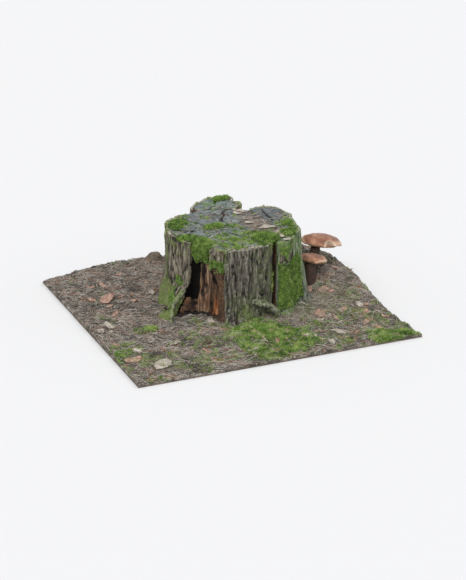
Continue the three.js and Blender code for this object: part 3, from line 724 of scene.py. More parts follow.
def shoots(rng, at, normal, length, radius=0.0009, lean=0.45):
    """Short tapered shoots standing on a surface, with their tints."""
    count = len(at)
    way = normal + rng.normal(0, lean, (count, 3)) + [0, 0, 0.35]
    way /= np.linalg.norm(way, axis=1, keepdims=True)
    size = rng.uniform(*length, count)[:, None, None]
    curl = rng.normal(0, 0.35, (count, 1, 3))
    t = np.array([0, 0.45, 1.0])[None, :, None]
    start = at - 0.0012 * normal
    paths = start[:, None] + way[:, None] * size * t + curl * size * t**2 * 0.6
    radii = radius * rng.uniform(0.7, 1.3, (count, 1)) * np.array([0.8, 1.0, 0.2])
    vertices, faces = tubes(paths, radii)
    clump = 0.44 + 0.34 * noise(at * 55, 4) + 0.28 * noise(at * 170, 6)
    tint = np.clip(clump + rng.normal(0, 0.13, count), 0, 1)
    tints = tint[:, None] + np.array([-0.12, 0.0, 0.14])[None]
    return vertices, faces, np.repeat(np.clip(tints, 0, 1).ravel(), 3)


MOSS_FINISH = strands(
    "moss",
    [(0.0, "#2a3a12"), (0.25, "#486624"), (0.5, "#6d9038"), (0.75, "#97b45a"), (1.0, "#c0bf80")],
    0.9,
)
THIN_MOSS_FINISH = weathered(
    "mossy bark", "#332d24", "#665f52", "#9a9281", ("#3c5620", "#7a9647"), (1, 1, 0.22), 85
)
MOSS_BASE_FINISH = ground_finish(
    "moss base",
    [(0.0, "#1f2a0c"), (0.4, "#3a4f18"), (0.75, "#587428"), (1.0, "#74853c")],
    ("#4d6623", "#5f6f30"),
)


def moss_piece(node, rng, count, hosts, thin):
    """A lumpy cushion in the place of a CAD one. Its coat of shoots strays onto what it grows on.

    A thin one shows bark between its shoots."""
    reach = 0.026
    base = remeshed(node + "_base", [node], 0.0022, 14)
    co, normal = points_of(base), normals_of(base)
    low, high = (np.array(c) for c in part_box(node))
    middle, half = (low + high) / 2, (high - low) / 2
    rim = np.max(np.abs(co - middle) / np.maximum(half, 0.02), axis=1)
    bare = smoothstep(-0.2, 0.4, fractal(co * 34, 3, seed=33) + 1.3 * (rim - 0.72))
    away = co[:, :2] - RIGHT_MIDDLE if low[0] > MAIN_MIDDLE[0] + 0.1 else co[:, :2] - MAIN_MIDDLE
    away /= np.linalg.norm(away, axis=1, keepdims=True)
    outer = smoothstep(0.1, 0.6, np.maximum((normal[:, :2] * away).sum(1), normal[:, 2]))
    co += normal * (0.0026 * fractal(co * 70, 3, seed=31) - 0.0075 * bare * outer)[:, None]
    upright = smoothstep(0.03, 0.06, high[2] - low[2])
    ragged = noise(np.column_stack([co[:, :2] * 55, 0 * co[:, 0]]), 37)
    ends = np.abs(co[:, 2] - middle[2]) / half[2]
    co[:, 2] += 0.02 * upright * ragged * smoothstep(0.2, 1.0, ends)
    move_points(base, co)
    # The thin moss's bark finish paints shade where this depth is low, in streaks laid by noise.
    store(base, "depth", smoothstep(-0.5, 0.1, fractal(co * [70, 70, 14], 3, seed=35)))
    store(base, "moss", 0.9 * patchy(co, 26, 36, 0.1))
    finished(base, THIN_MOSS_FINISH if thin else MOSS_BASE_FINISH, "moss", node)

    def outward(p, n):
        grown = patchy(p, 26, 36, 0.1) if thin else 1
        return (np.clip(n[:, 2] + 0.35, 0.02, 1) + 0.5 * np.clip(-n[:, 1], 0, 1)) * grown

    parts = [shoots(rng, *over(base, count, rng, outward), (0.003, 0.008))]
    tree, _ = caster([NODES[node]])

    def nearby(p, n):
        weight = np.zeros(len(p))
        for i in np.nonzero(((p > low - reach) & (p < high + reach)).all(1) & (n[:, 2] > -0.3))[0]:
            weight[i] = tree.find_nearest(Vector(p[i]), reach)[3] or 0
        close = smoothstep(reach, 0.0, np.where(weight > 0, weight, reach))
        return close * smoothstep(-0.25, 0.35, fractal(p * 30, 3, seed=34)) + 1e-12

    for host in hosts:
        at, facing = over(bpy.data.objects[host], count // 2, rng, nearby)
        parts.append(shoots(rng, at, facing, (0.002, 0.006)))
    joined_piece(node + "_shoots", parts, MOSS_FINISH, "moss")


# ---------- the stump ----------
SAWN_LOWEST = 0.25  # litter never lies on anything lower, such as in the hollow
SAWN_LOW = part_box("front_stave_left")[1][2] - 0.015  # all of the sawn top is above it


def lumpy(name, node, voxel, smoothing, material, slot, rise):
    """A CAD node remeshed and roughened by rise, which gives how far each point moves outward."""
    thing = remeshed(name, [node], voxel, smoothing)
    co = points_of(thing)
    displaced(thing, rise(co))
    return finished(thing, material, slot, node)


def stem_middle(node):
    """The middle of a stem's sawn top, in plan."""
    co = np.array([v.co for v in NODES[node].data.vertices])
    top = co[co[:, 2] > SAWN_LOW, :2]
    return (top.min(0) + top.max(0)) / 2


MAIN_MIDDLE = stem_middle("main_stem_wood")
RIGHT_MIDDLE = stem_middle("right_stem_wood")
REAR_MIDDLE = stem_middle("rear_stem_wood")


def displaced(thing, amount):
    co, normal = points_of(thing), normals_of(thing)
    co += normal * amount[:, None]
    co[:, 2] = np.maximum(co[:, 2], 0.0002)
    move_points(thing, co)


def bark_piece(name, nodes, voxel, depth, pitch, seed, finish, slot, mossy, tall):
    """Furrowed bark over one or more CAD plates. Furrows are pitch to the metre and tall times as long.

    mossy gives how green each point is."""
    thing = remeshed(name, nodes, voxel, 5)
    co = points_of(thing)
    wander = 0.006 * np.stack([noise(co * 22, seed + 40), noise(co * 22, seed + 41), 0 * co[:, 0]], 1)
    furrow = ridges((co + wander) * [pitch, pitch, pitch / tall], 3, seed)
    rough = fractal(co * [pitch * 3, pitch * 3, pitch], 3, seed=seed + 7)
    swell = noise(co * 16, seed + 11)
    displaced(thing, depth * (furrow - 0.62) + 0.3 * depth * rough + 0.0018 * swell)
    # Depth is 0 down in the furrows, where the bark finish paints shade.
    store(thing, "depth", smoothstep(0.12, 0.6, furrow + 0.12 * rough))
    normal = normals_of(thing)
    store(thing, "moss", np.clip(mossy(co, normal), 0, 1))
    rim = smoothstep(0.5, 0.85, normal[:, 2]) * smoothstep(SAWN_LOW - 0.02, SAWN_LOW, co[:, 2])
    store(thing, "sawn", rim * (1 - 0.5 * patchy(co, 60, seed + 9, 0.2)))
    return finished(thing, finish, slot, *nodes)


BARK_FINISH = weathered("bark", "#332d24", "#665f52", "#9a9281", ("#3c4d1c", "#7c9046"), (1, 1, 0.22), 85)
RIGHT_BARK_FINISH = weathered(
    "right bark", "#3f4439", "#6c7263", "#969b8b", ("#3c5620", "#7a9647"), (1, 1, 0.12), 110
)
ROOT_FINISH = weathered(
    "root bark", "#444637", "#6f715e", "#989985", ("#44591f", "#87994e"), (1, 1, 0.6), 90
)
SIDE_ROOT_FINISH = weathered(
    "side root bark", "#4c453c", "#7c7266", "#a1978a", ("#4c5b2a", "#7f8a52"), (1, 1, 1), 90
)
STAVE_FINISH = weathered("stave", "#27251e", "#57534a", "#8b8679", ("#3c4a1e", "#74824a"), (1, 1, 0.1), 130)


def bark_pieces():
    def low_green(co):
        return smoothstep(0.14, 0.03, co[:, 2])

    def rim_green(co):
        return smoothstep(0.24, 0.29, co[:, 2])

    def stave(co, normal):
        return 0.2 * patchy(co, 30, 9, 0.4) + 0.6 * low_green(co) * patchy(co, 40, 2, 0.0)

    def left(co, normal):
        foot = low_green(co) * smoothstep(-0.16, -0.2, co[:, 0])
        return 0.75 * foot + 0.6 * rim_green(co) * patchy(co, 30, 3, 0.1) + 0.45 * patchy(co, 24, 8, 0.45)

    def right(co, normal):
        shade = smoothstep(0.1, -0.2, co[:, 1])
        strip = smoothstep(0.16, 0.19, co[:, 0]) * smoothstep(0.25, 0.22, co[:, 0]) * shade
        return (0.5 * shade + 0.15) * patchy(co, 26, 5, 0.3) + 0.25 * rim_green(co) + 0.3 * strip

    def foot(co, normal):
        return 0.5 * patchy(co, 40, 4, 0.1) * smoothstep(-0.2, 0.5, normal[:, 2])

    def spotted(share, scale, seed, threshold):
        return lambda co, normal: share * patchy(co, scale, seed, threshold)

    left_plates = ["bark_left_front", "bark_left", "bark_rear_left"]
    rear_plates = ["bark_rear_stem_left", "bark_rear_stem_right"]
    right_plates = ["bark_right_rear", "bark_right_side", "bark_right_front"]
    stave_rows = [
        ("stave_" + side, ["front_stave_" + side], 0.0022, 0.0105, 78, seed,
         STAVE_FINISH, "stave", stave, 6.0)
        for seed, side in enumerate(("left", "middle", "right"), 20)
    ]
    for row in [
        ("bark_left_side", left_plates, 0.0027, 0.0075, 62, 2, BARK_FINISH, "bark", left, 5.0),
        ("bark_rear_stem", rear_plates, 0.0032, 0.0075, 58, 4, BARK_FINISH, "bark", left, 5.0),
        ("bark_right", right_plates, 0.003, 0.005, 70, 6, RIGHT_BARK_FINISH, "right_bark", right, 9.0),
        *stave_rows,
        ("cleft", ["bark_cleft"], 0.0022, 0.006, 80, 18, STAVE_FINISH, "bark",
         spotted(0.45, 34, 7, -0.05), 6.0),
        ("foot_root", ["root_foot_left"], 0.0022, 0.004, 80, 12, ROOT_FINISH, "root_bark", foot, 2.5),
        ("knob_root", ["root_knob_front"], 0.0022, 0.005, 75, 14, ROOT_FINISH, "root_bark",
         spotted(0.2, 40, 4, 0.25), 2.0),
        ("side_root", ["root_side_right"], 0.003, 0.006, 60, 16, SIDE_ROOT_FINISH, "right_bark",
         spotted(0.4, 30, 4, 0.3), 1.0),
    ]:
        bark_piece(*row)


def wood_finish(name, stops, shaded_rot_stops):
    """Sawn end grain: rings about the stem's middle with radial checks, and rot in the hollow, its sides dark
    with painted shade where the mesh keeps no brown; painted shade also darkens the cracks.
    """
    finish = Finish(name, 0.9)
    fine = finish.noise(150, 5)
    blend = finish.maths("MULTIPLY_ADD", fine, 0.6, finish.maths("MULTIPLY", finish.noise(20, 4), 0.5))
    ring = finish.levels(finish.maths("SINE", finish.kept("ring")), -1, 1)
    weathered_top = finish.ramp(finish.levels(blend, 0.3, 0.8), *stops)
    lines = finish.ramp(ring, (0.0, "#b4b4b0"), (0.45, "#ffffff"))
    top = finish.mixed(0.5, weathered_top, finish.darkened(weathered_top, lines))
    # The hollow's sides: dark rot with painted shade, brown where the mesh keeps it.
    hollow_rot_and_shade = finish.ramp(finish.levels(blend, 0.35, 0.8), *shaded_rot_stops)
    brown_level = finish.levels(blend, 0.4, 0.75)
    brown = finish.ramp(brown_level, (0.0, "#2a1c12"), (0.5, "#5f442e"), (1.0, "#8f6c4d"))
    hollow_rot_and_shade = finish.mixed(finish.kept("brown"), hollow_rot_and_shade, brown)
    green = finish.ramp(finish.noise(230, 4), (0.35, "#3d5426"), (0.65, "#87a256"))
    top = finish.mixed(finish.kept("moss"), top, green)
    colour = finish.mixed(finish.kept("top"), hollow_rot_and_shade, top)
    # Painted shade in the cracks and pits, where the kept depth is low.
    crack_shade = finish.darkened(colour, "#2a2724")
    finish.colour(finish.mixed(finish.kept("depth"), crack_shade, colour))
    finish.bump(blend, 0.5, 0.002)
    finish.roughness(fine, 0.95, 0.8)
    return finish.material


WOOD_FINISH = wood_finish(
    "sawn wood",
    [(0.0, "#3c4242"), (0.4, "#5f6868"), (0.7, "#7f8a8a"), (1.0, "#a3aaa6")],
    # Near-black painted shade over dark rot, for the hollow's sides.
    [(0.0, "#070504"), (0.5, "#17110c"), (1.0, "#3b2c20")],
)
RIGHT_WOOD_FINISH = wood_finish(
    "right sawn wood",
    [(0.0, "#3b4245"), (0.45, "#5b6366"), (0.75, "#7a8284"), (1.0, "#999f9e")],
    # Dark rot with milder painted shade, for the stem's sides.
    [(0.0, "#1b1712"), (0.5, "#3a3127"), (1.0, "#5e5243")],
)


def greened(co, middle):
    """How mossy a sawn top is: a broad band along the front, and patches behind it."""
    ahead = (co[:, 1] - middle[1]) * 5 - (co[:, 0] - middle[0]) * 0.8
    patch = fractal(co * [17, 17, 1], 3, seed=58)
    return np.maximum(smoothstep(0.25, -0.6, ahead + 0.6 * patch), 0.85 * smoothstep(0.3, 0.7, patch))


def wood_piece(name, node, middle, voxel, seed, finish, slot, cracks):
    """Sawn wood with a weathered top. cracks are degrees, from and to radius, width and depth."""
    thing = remeshed(name, [node], voxel, 4)
    co, normal = points_of(thing), normals_of(thing)
    top = smoothstep(0.35, 0.8, normal[:, 2]) * smoothstep(0.2, 0.25, co[:, 2])
    flat = co[:, :2] - middle
    radius = np.hypot(flat[:, 0], flat[:, 1])
    angle = np.degrees(np.arctan2(flat[:, 1], flat[:, 0]))
    wander = 5 * noise(co * [30, 30, 1], seed)
    sunk = np.zeros(len(co))
    for degrees, start, end, width, depth in cracks:
        away = (angle + wander - degrees + 180) % 360 - 180
        side = np.radians(np.abs(away)) * radius
        inside = smoothstep(start - 0.01, start + 0.01, radius) * smoothstep(end + 0.01, end - 0.01, radius)
        sunk = np.maximum(sunk, depth * inside * np.exp(-((side / width) ** 2)))
    pits = smoothstep(0.45, 0.8, fractal(co * 55, 2, seed=seed + 3)) * 0.006
    worn = 0.0022 * fractal(co * 32, 3, seed=seed + 5) + 0.0012 * noise(co * 130, seed + 9)
    rotten = 0.004 * (ridges(co * [60, 60, 9], 3, seed + 13) - 0.5)
    displaced(thing, top * (worn - sunk - pits) + (1 - top) * rotten)
    store(thing, "top", top)
    # Brown rot beside and behind the hollow; the rest of the sides keeps the dark painted shade.
    rot_low, rot_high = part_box("rot_core")
    beside = smoothstep(rot_low[0] + 0.02, rot_high[0], co[:, 0]) * (co[:, 1] < rot_high[1])
    behind = smoothstep(rot_high[1] + 0.07, rot_high[1] + 0.12, co[:, 1])
    store(thing, "brown", np.maximum(beside, behind))
    tufted = smoothstep(-0.5, 0.4, fractal(co * 90, 2, seed=seed))
    store(thing, "moss", 0.75 * greened(co, middle) * tufted)
    rings = radius * (1 + 0.06 * noise(np.stack([angle / 28, 0 * angle, 0 * angle], 1), seed + 2))
    store(thing, "ring", rings * 2 * np.pi / 0.0045)
    # Depth is 0 in the cracks and pits, where the wood finish paints shade.
    store(thing, "depth", 1 - smoothstep(0.001, 0.006, top * (sunk + 0.7 * pits)))
    return finished(thing, finish, slot, node)


def wood_pieces():
    wood_piece(
        "main_wood", "main_stem_wood", MAIN_MIDDLE, 0.0032, 50, WOOD_FINISH, "wood",
        [(20, 0.05, 0.2, 0.004, 0.012), (62, 0.08, 0.24, 0.005, 0.014), (118, 0.05, 0.2, 0.004, 0.01),
         (160, 0.1, 0.17, 0.004, 0.012), (212, 0.06, 0.14, 0.003, 0.01), (300, 0.04, 0.16, 0.004, 0.01)],
    )
    wood_piece(
        "right_wood", "right_stem_wood", RIGHT_MIDDLE, 0.003, 60, RIGHT_WOOD_FINISH, "right_wood",
        [(-20, 0.01, 0.08, 0.003, 0.01), (40, 0.02, 0.1, 0.0035, 0.012), (84, 0.03, 0.15, 0.004, 0.014),
         (110, 0.02, 0.11, 0.003, 0.01), (250, 0.02, 0.12, 0.003, 0.01)],
    )
    wood_piece(
        "rear_wood", "rear_stem_wood", REAR_MIDDLE, 0.003, 70, WOOD_FINISH, "wood",
        [(60, 0.01, 0.07, 0.003, 0.012), (150, 0.02, 0.06, 0.003, 0.01), (220, 0.02, 0.1, 0.003, 0.01)],
    )


def rot_finish(name, stops):
    finish = Finish(name, 0.95)
    fibre = finish.noise(140, 6, finish.stretched(1, 1, 0.08))
    blotch = finish.noise(16, 3)
    colour = finish.ramp(finish.levels(fibre, 0.3, 0.72), *stops)
    warm = finish.mixed(finish.levels(blotch, 0.45, 0.7), colour, finish.mixed(0.4, colour, "#8a5a34"))
    foot = finish.mixed(0.6, colour, "#b06a35")
    warm = finish.mixed(finish.kept("foot"), warm, foot)
    # Painted shade: darker where the kept depth is low, between ribs, in pits and in hollows.
    dark = finish.darkened(colour, "#30261d")
    finish.colour(finish.mixed(finish.kept("depth"), dark, warm))
    finish.bump(fibre, 0.7, 0.002)
    return finish.material


ROT_FINISH = rot_finish(
    "rotten heartwood", [(0.0, "#2b1e17"), (0.4, "#604a3a"), (0.7, "#937a64"), (1.0, "#c2aa90")]
)
CRUMBLE_FINISH = rot_finish("crumbled rot", [(0.0, "#1c1410"), (0.5, "#4a3527"), (1.0, "#83654c")])


def rot_pieces():
    core = remeshed("rot_core_ribs", ["rot_core"], 0.0022, 3)
    co = points_of(core)
    bent = co + 0.004 * np.stack([noise(co * 18, 81), noise(co * 18, 82), 0 * co[:, 0]], 1)
    rib = ridges(bent * [48, 48, 4], 2, 83)
    fibre = ridges(bent * [150, 150, 12], 2, 84)
    pits = smoothstep(0.3, 0.8, fractal(co * [60, 60, 30], 2, seed=85))
    displaced(core, 0.016 * (rib - 0.75) + 0.004 * (fibre - 0.5) - 0.006 * pits)
    # Depth is 0 between the ribs and in the pits, where the finish paints shade.
    store(core, "depth", smoothstep(0.15, 0.62, rib) * (1 - 0.8 * pits))
    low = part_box("rot_core")[0]
    store(core, "foot", smoothstep(low[2] + 0.09, low[2] + 0.02, co[:, 2]) * (co[:, 0] > low[0] + 0.03))
    finished(core, ROT_FINISH, "rot", "rot_core")
    heap = remeshed("rot_heap", ["rot_crumble"], 0.0026, 6)
    co = points_of(heap)
    displaced(heap, 0.004 * fractal(co * 60, 4, seed=88) + 0.002 * noise(co * 200, 89))
    # Depth is low in the heap's hollows, where the finish paints shade.
    store(heap, "depth", smoothstep(-0.7, 0.5, fractal(co * 60, 4, seed=88)))
    finished(heap, CRUMBLE_FINISH, "crumble", "rot_crumble")
    lumpy(
        "seam_packing", "seam_litter", 0.0026, 6, LITTER_FINISH, "seam_litter",
        lambda co: 0.003 * fractal(co * 70, 4, seed=91),
    )


def top_moss(rng):
    """Short moss over the greened part of the sawn tops."""
    parts = []
    for name, middle, count in (("main_wood", MAIN_MIDDLE, 11000), ("right_wood", RIGHT_MIDDLE, 2500)):
        def wanted(p, n):
            tufted = smoothstep(-0.3, 0.4, fractal(p * 48, 2, seed=59))
            return smoothstep(0.35, 0.8, greened(p, middle)) * tufted * (n[:, 2] > 0.6) * (p[:, 2] > SAWN_LOW)

        parts.append(shoots(rng, *over(bpy.data.objects[name], count, rng, wanted), (0.003, 0.007)))
    joined_piece("top_moss", parts, MOSS_FINISH, "moss")


# ---------- mushrooms ----------
def cap_finish():
    finish = Finish("mushroom cap", 0.62)
    mottled = finish.noise(45, 4)
    fine = finish.noise(420, 3)
    brown = finish.levels(mottled, 0.35, 0.68)
    skin = finish.ramp(brown, (0.0, "#6d4430"), (0.5, "#905e43"), (1.0, "#b38465"))
    rim = finish.mixed(finish.kept("rim"), skin, "#c9a689")
    flesh = finish.mixed(finish.kept("torn"), rim, "#d9c6ae")
    under = finish.mixed(finish.kept("under"), flesh, "#a9876a")
    finish.colour(finish.mixed(finish.levels(fine, 0.3, 0.9), under, finish.mixed(0.25, under, "#5b3826")))
    finish.bump(fine, 0.25, 0.0006)
    finish.shader.inputs["Sheen Weight"].default_value = 0.25
    return finish.material


def plain_finish(name, stops, scale, roughness, bump):
    finish = Finish(name, roughness)
    value = finish.noise(scale, 5)
    finish.colour(finish.ramp(finish.levels(value, 0.3, 0.72), *stops))
    finish.bump(value, bump, 0.001)
    finish.roughness(value, roughness, roughness - 0.15)
    return finish.material


CAP_FINISH = cap_finish()
GILL_FINISH = plain_finish("gills", [(0.0, "#7b5c44"), (0.5, "#a98767"), (1.0, "#cbb08f")], 160, 0.85, 0.2)
STALK_FINISH = plain_finish("stalk", [(0.0, "#1d1310"), (0.5, "#3a2a22"), (1.0, "#5d4738")], 300, 0.95, 0.7)


def mushroom(which, torn=None):
    """A cap, its gills and its stem. torn is where the rim is split, as shares of the cap's box in plan."""
    voxel = 0.002
    node = "mushroom_" + which
    cap = remeshed(which + "_cap", [node + "_cap"], voxel, 8)
    co, normal = points_of(cap), normals_of(cap)
    low, high = (np.array(c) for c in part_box(node + "_cap"))
    middle = (low + high) / 2
    span = (high - low) / 2
    away = np.hypot((co[:, 0] - middle[0]) / span[0], (co[:, 1] - middle[1]) / span[1])
    angle = np.arctan2(co[:, 1] - middle[1], co[:, 0] - middle[0])
    wave = 0.0022 * np.sin(5 * angle + 1.0) + 0.0014 * np.sin(9 * angle + 2.0)
    co[:, 2] += wave * smoothstep(0.45, 1.0, away)
    move_points(cap, co)
    displaced(cap, 0.0012 * fractal(co * 40, 3, seed=101) + 0.0004 * noise(co * 220, 102))
    rim = smoothstep(0.84, 0.98, away + 0.04 * noise(co * 60, 103))
    store(cap, "rim", 0.75 * rim * (normal[:, 2] > -0.2))
    store(cap, "under", smoothstep(-0.2, -0.6, normal[:, 2]))
    cut = np.zeros(len(co))
    if torn is not None:
        split = low[:2] + (high - low)[:2] * torn
        near = smoothstep(0.036, 0.02, np.hypot(co[:, 0] - split[0], co[:, 1] - split[1]))
        cut = near * (np.abs(normal[:, 2]) < 0.8)
    store(cap, "torn", cut)
    finished(cap, CAP_FINISH, "mushroom_cap", node + "_cap")
    gills = remeshed(which + "_gills", [node + "_gills"], voxel * 0.7, 4)
    co, normal = points_of(gills), normals_of(gills)
    angle = np.arctan2(co[:, 1] - middle[1], co[:, 0] - middle[0])
    blades = np.abs(np.sin(angle * 34 + 0.6 * noise(co * 60, 104)))
    displaced(gills, (0.0016 * blades - 0.0014) * (normal[:, 2] < 0.3))
    finished(gills, GILL_FINISH, "mushroom_gills", node + "_gills")
    lumpy(
        which + "_stalk", node + "_stem", voxel, 6, STALK_FINISH, "mushroom_stem",
        lambda co: 0.0014 * fractal(co * [60, 60, 25], 3, seed=105) + 0.0006 * noise(co * 260, 106),
    )


# ---------- leaves, sticks and litter with a place of its own ----------
def leaf_finish(name, stops, vein):
    finish = Finish(name, 0.75)
    mottled = finish.noise(70, 5)
    colour = finish.ramp(finish.levels(mottled, 0.3, 0.72), *stops)
    rib = finish.levels(finish.kept("tint"), 0.1, 0.0)
    finish.colour(finish.mixed(rib, colour, vein))
    finish.bump(finish.noise(300, 4), 0.5, 0.0006)
    return finish.material


GREY_LEAF = leaf_finish("grey leaf", [(0.0, "#8f8578"), (0.5, "#aba295"), (1.0, "#c6bfb3")], "#d6cfc2")
BROWN_LEAF = leaf_finish("brown leaf", [(0.0, "#7d5f50"), (0.5, "#a48371"), (1.0, "#c0a190")], "#c9b09d")
STICK_FINISH = plain_finish("stick", [(0.0, "#6e6052"), (0.5, "#9a8b79"), (1.0, "#bdb09e")], 140, 0.85, 0.6)
NEEDLE_FINISH = strands(
    "needles",
    [(0.0, "#332e28"), (0.3, "#6b6359"), (0.55, "#a39c92"), (0.85, "#dad4ca"), (1.0, "#a8714c")],
)
CHIP_FINISH = strands(
    "leaf crumbs",
    [(0.0, "#4b3f36"), (0.3, "#7e6c60"), (0.55, "#a58f82"), (0.8, "#b9a79b"), (1.0, "#b58a72")],
)
GRASS_FINISH = strands("dry grass", [(0.0, "#6b6252"), (0.5, "#a59b88"), (1.0, "#d0c8b8")], 0.8)

CAD_LEAVES = {
    "leaf_grey_front": (0.096, 0.062, 62, 0.006, GREY_LEAF, "grey_leaf", 0.06),
    "leaf_grey_right": (0.064, 0.034, -58, 0.006, GREY_LEAF, "grey_leaf", 0.0),
    "leaf_small_left": (0.048, 0.030, -60, 0.005, GREY_LEAF, "grey_leaf", 0.0),
    "leaf_pink_front": (0.066, 0.050, 12, 0.005, BROWN_LEAF, "brown_leaf", 0.05),
    "leaf_pink_right": (0.062, 0.040, -24, 0.004, BROWN_LEAF, "brown_leaf", 0.04),
    "leaf_brown_left": (0.066, 0.048, 20, 0.008, BROWN_LEAF, "brown_leaf", 0.07),
    "leaf_tan_right": (0.058, 0.040, 60, 0.010, BROWN_LEAF, "brown_leaf", 0.0),
}


def leaf_pieces(rng, ground):
    def on_ground(lift):
        return lambda x, y: ground.height(x, y) + lift

    for node, (long, wide, turn, curl, material, slot, lobes) in CAD_LEAVES.items():
        low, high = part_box(node)
        at = ((low[0] + high[0]) / 2, (low[1] + high[1]) / 2)
        leaf = leaf_mesh(rng, at, (long, wide), math.radians(turn), curl, lobes, on_ground(0.003))
        finished(new_object(node.replace("leaf_", "") + "_leaf", *leaf), material, slot, node)
    small = (("brown", 46, BROWN_LEAF, "brown_leaf"), ("grey", 26, GREY_LEAF, "grey_leaf"))
    for name, count, material, slot in small:
        parts = []
        for x, y in strewn(rng, count, ground, 0.8):
            long = rng.uniform(0.018, 0.042)
            wide = long * rng.uniform(0.45, 0.8)
            turn, curl, lobes = rng.uniform(0, FULL_TURN), rng.uniform(0.001, 0.006), rng.choice([0, 0.06])
            at = (x * 0.95, y * 0.95)
            parts.append(leaf_mesh(rng, at, (long, wide), turn, curl, lobes, on_ground(0.002)))
        joined_piece("small_leaves_" + name, parts, material, slot)


def spine(node, steps):
    """Points along the middle of a long thin CAD node."""
    co = points_of(NODES[node])
    middle = co.mean(0)
    way = np.linalg.svd(co - middle, full_matrices=False)[2][0]
    along = (co - middle) @ way
    stops = np.linspace(along.min(), along.max(), steps)
    reach = (along.max() - along.min()) / (steps - 1)
    path = np.array([co[np.abs(along - s) <= reach].mean(0) for s in stops])
    path[0] += way * (along.min() - (path[0] - middle) @ way)
    path[-1] += way * (along.max() - (path[-1] - middle) @ way)
    return path


def twig(rng, path, radius, forks):
    """A knotty tapering stick with a few short side shoots."""
    steps = len(path)
    t = np.linspace(0, 1, steps)
    knots = 1 + 0.25 * np.maximum(0, noise(np.stack([t * 7, t * 0, t * 0], 1), int(rng.integers(99))))
    parts = [(*tubes(path[None], (radius * (1.1 - 0.5 * t) * knots)[None], 8), np.full(steps * 8, 0.5))]
    for _ in range(forks):
        i = int(rng.integers(steps // 4, steps - 2))
        way = path[i + 1] - path[i]
        way /= np.linalg.norm(way)
        side = np.cross(way, [0, 0, 1]) * rng.choice([-1, 1]) + way * rng.uniform(0.3, 1)
        side /= np.linalg.norm(side)
        reach = rng.uniform(0.012, 0.03)
        shoot = path[i] + np.linspace(0, 1, 5)[:, None] * reach * (side + [0, 0, 0.05])
        sizes = radius * 0.5 * np.linspace(1, 0.4, 5)
        parts.append((*tubes(shoot[None], sizes[None], 6), np.full(30, 0.5)))
    return parts


STREWN_TWIGS = 70


def stick_pieces(rng, ground):
    long_sticks = (("stick_front", 0.0035, 2), ("twig_left", 0.002, 3), ("twig_right", 0.002, 2))
    for node, radius, forks in long_sticks:
        joined_piece(node + "_wood", twig(rng, spine(node, 15), radius, forks), STICK_FINISH, "stick", node)
    parts = []
    for x, y in strewn(rng, STREWN_TWIGS, ground, 0.7):
        turn, long = rng.uniform(0, FULL_TURN), rng.uniform(0.025, 0.075)
        t = np.linspace(0, 1, 9)
        bend = rng.normal(0, 0.12) * long * np.sin(np.pi * t)
        px, py = laid(x * 0.93, y * 0.93, t * long, bend, turn)
        if ground.clear(px, py).min() < 0.5:
            continue
        path = np.stack([px, py, ground.height(px, py) + 0.002 + 0.002 * rng.random()], 1)
        parts += twig(rng, path, rng.uniform(0.0009, 0.0016), int(rng.integers(0, 2)))
    joined_piece("strewn_twigs", parts, STICK_FINISH, "stick")


GRASS_STRANDS = 380


def grass_tussock(rng, ground):
    """Long dry grass fanned over the ground where the right stem meets it."""
    count = GRASS_STRANDS
    turn = np.radians(rng.uniform(-120, -20, count))
    reach = rng.uniform(0.12, 0.26, count)
    root = RIGHT_MIDDLE + [0.01, -0.02] + np.stack([np.cos(turn), np.sin(turn)], 1) * reach[:, None]
    way = turn + rng.normal(0, 0.7, count)
    long = rng.uniform(0.03, 0.09, count)[:, None]
    t = np.linspace(0, 1, 6)[None]
    bend = rng.normal(0, 0.35, (count, 1)) * long * t**2
    x, y = laid(root[:, :1], root[:, 1:], long * t, bend, way[:, None])
    rise = rng.uniform(0.002, 0.016, (count, 1)) * np.sin(np.pi * np.minimum(t * 1.15, 1))
    z = ground.height(x, y) + 0.001 + rise
    radii = 0.0006 * rng.uniform(0.7, 1.4, (count, 1)) * np.array([0.9, 1, 1, 0.9, 0.7, 0.3])
    tints = random_tints(rng, count)
    strand_piece("dry_grass", np.stack([x, y, z], -1), radii, tints, GRASS_FINISH, "litter")


CRUMBS = 3800


def chip_pieces(rng, ground):
    places = strewn(rng, CRUMBS, ground)
    heights = ground.height(places[:, 0], places[:, 1]) + 0.0012
    crumbs = new_object("leaf_crumbs", *chips(rng, places, heights, (0.004, 0.014)))
    finished(crumbs, CHIP_FINISH, "litter")


CARPET_SHOOTS = (21000, 4200, 1500, 1300)  # of CARPET_NODES
STRAY_SHOOTS = 26000


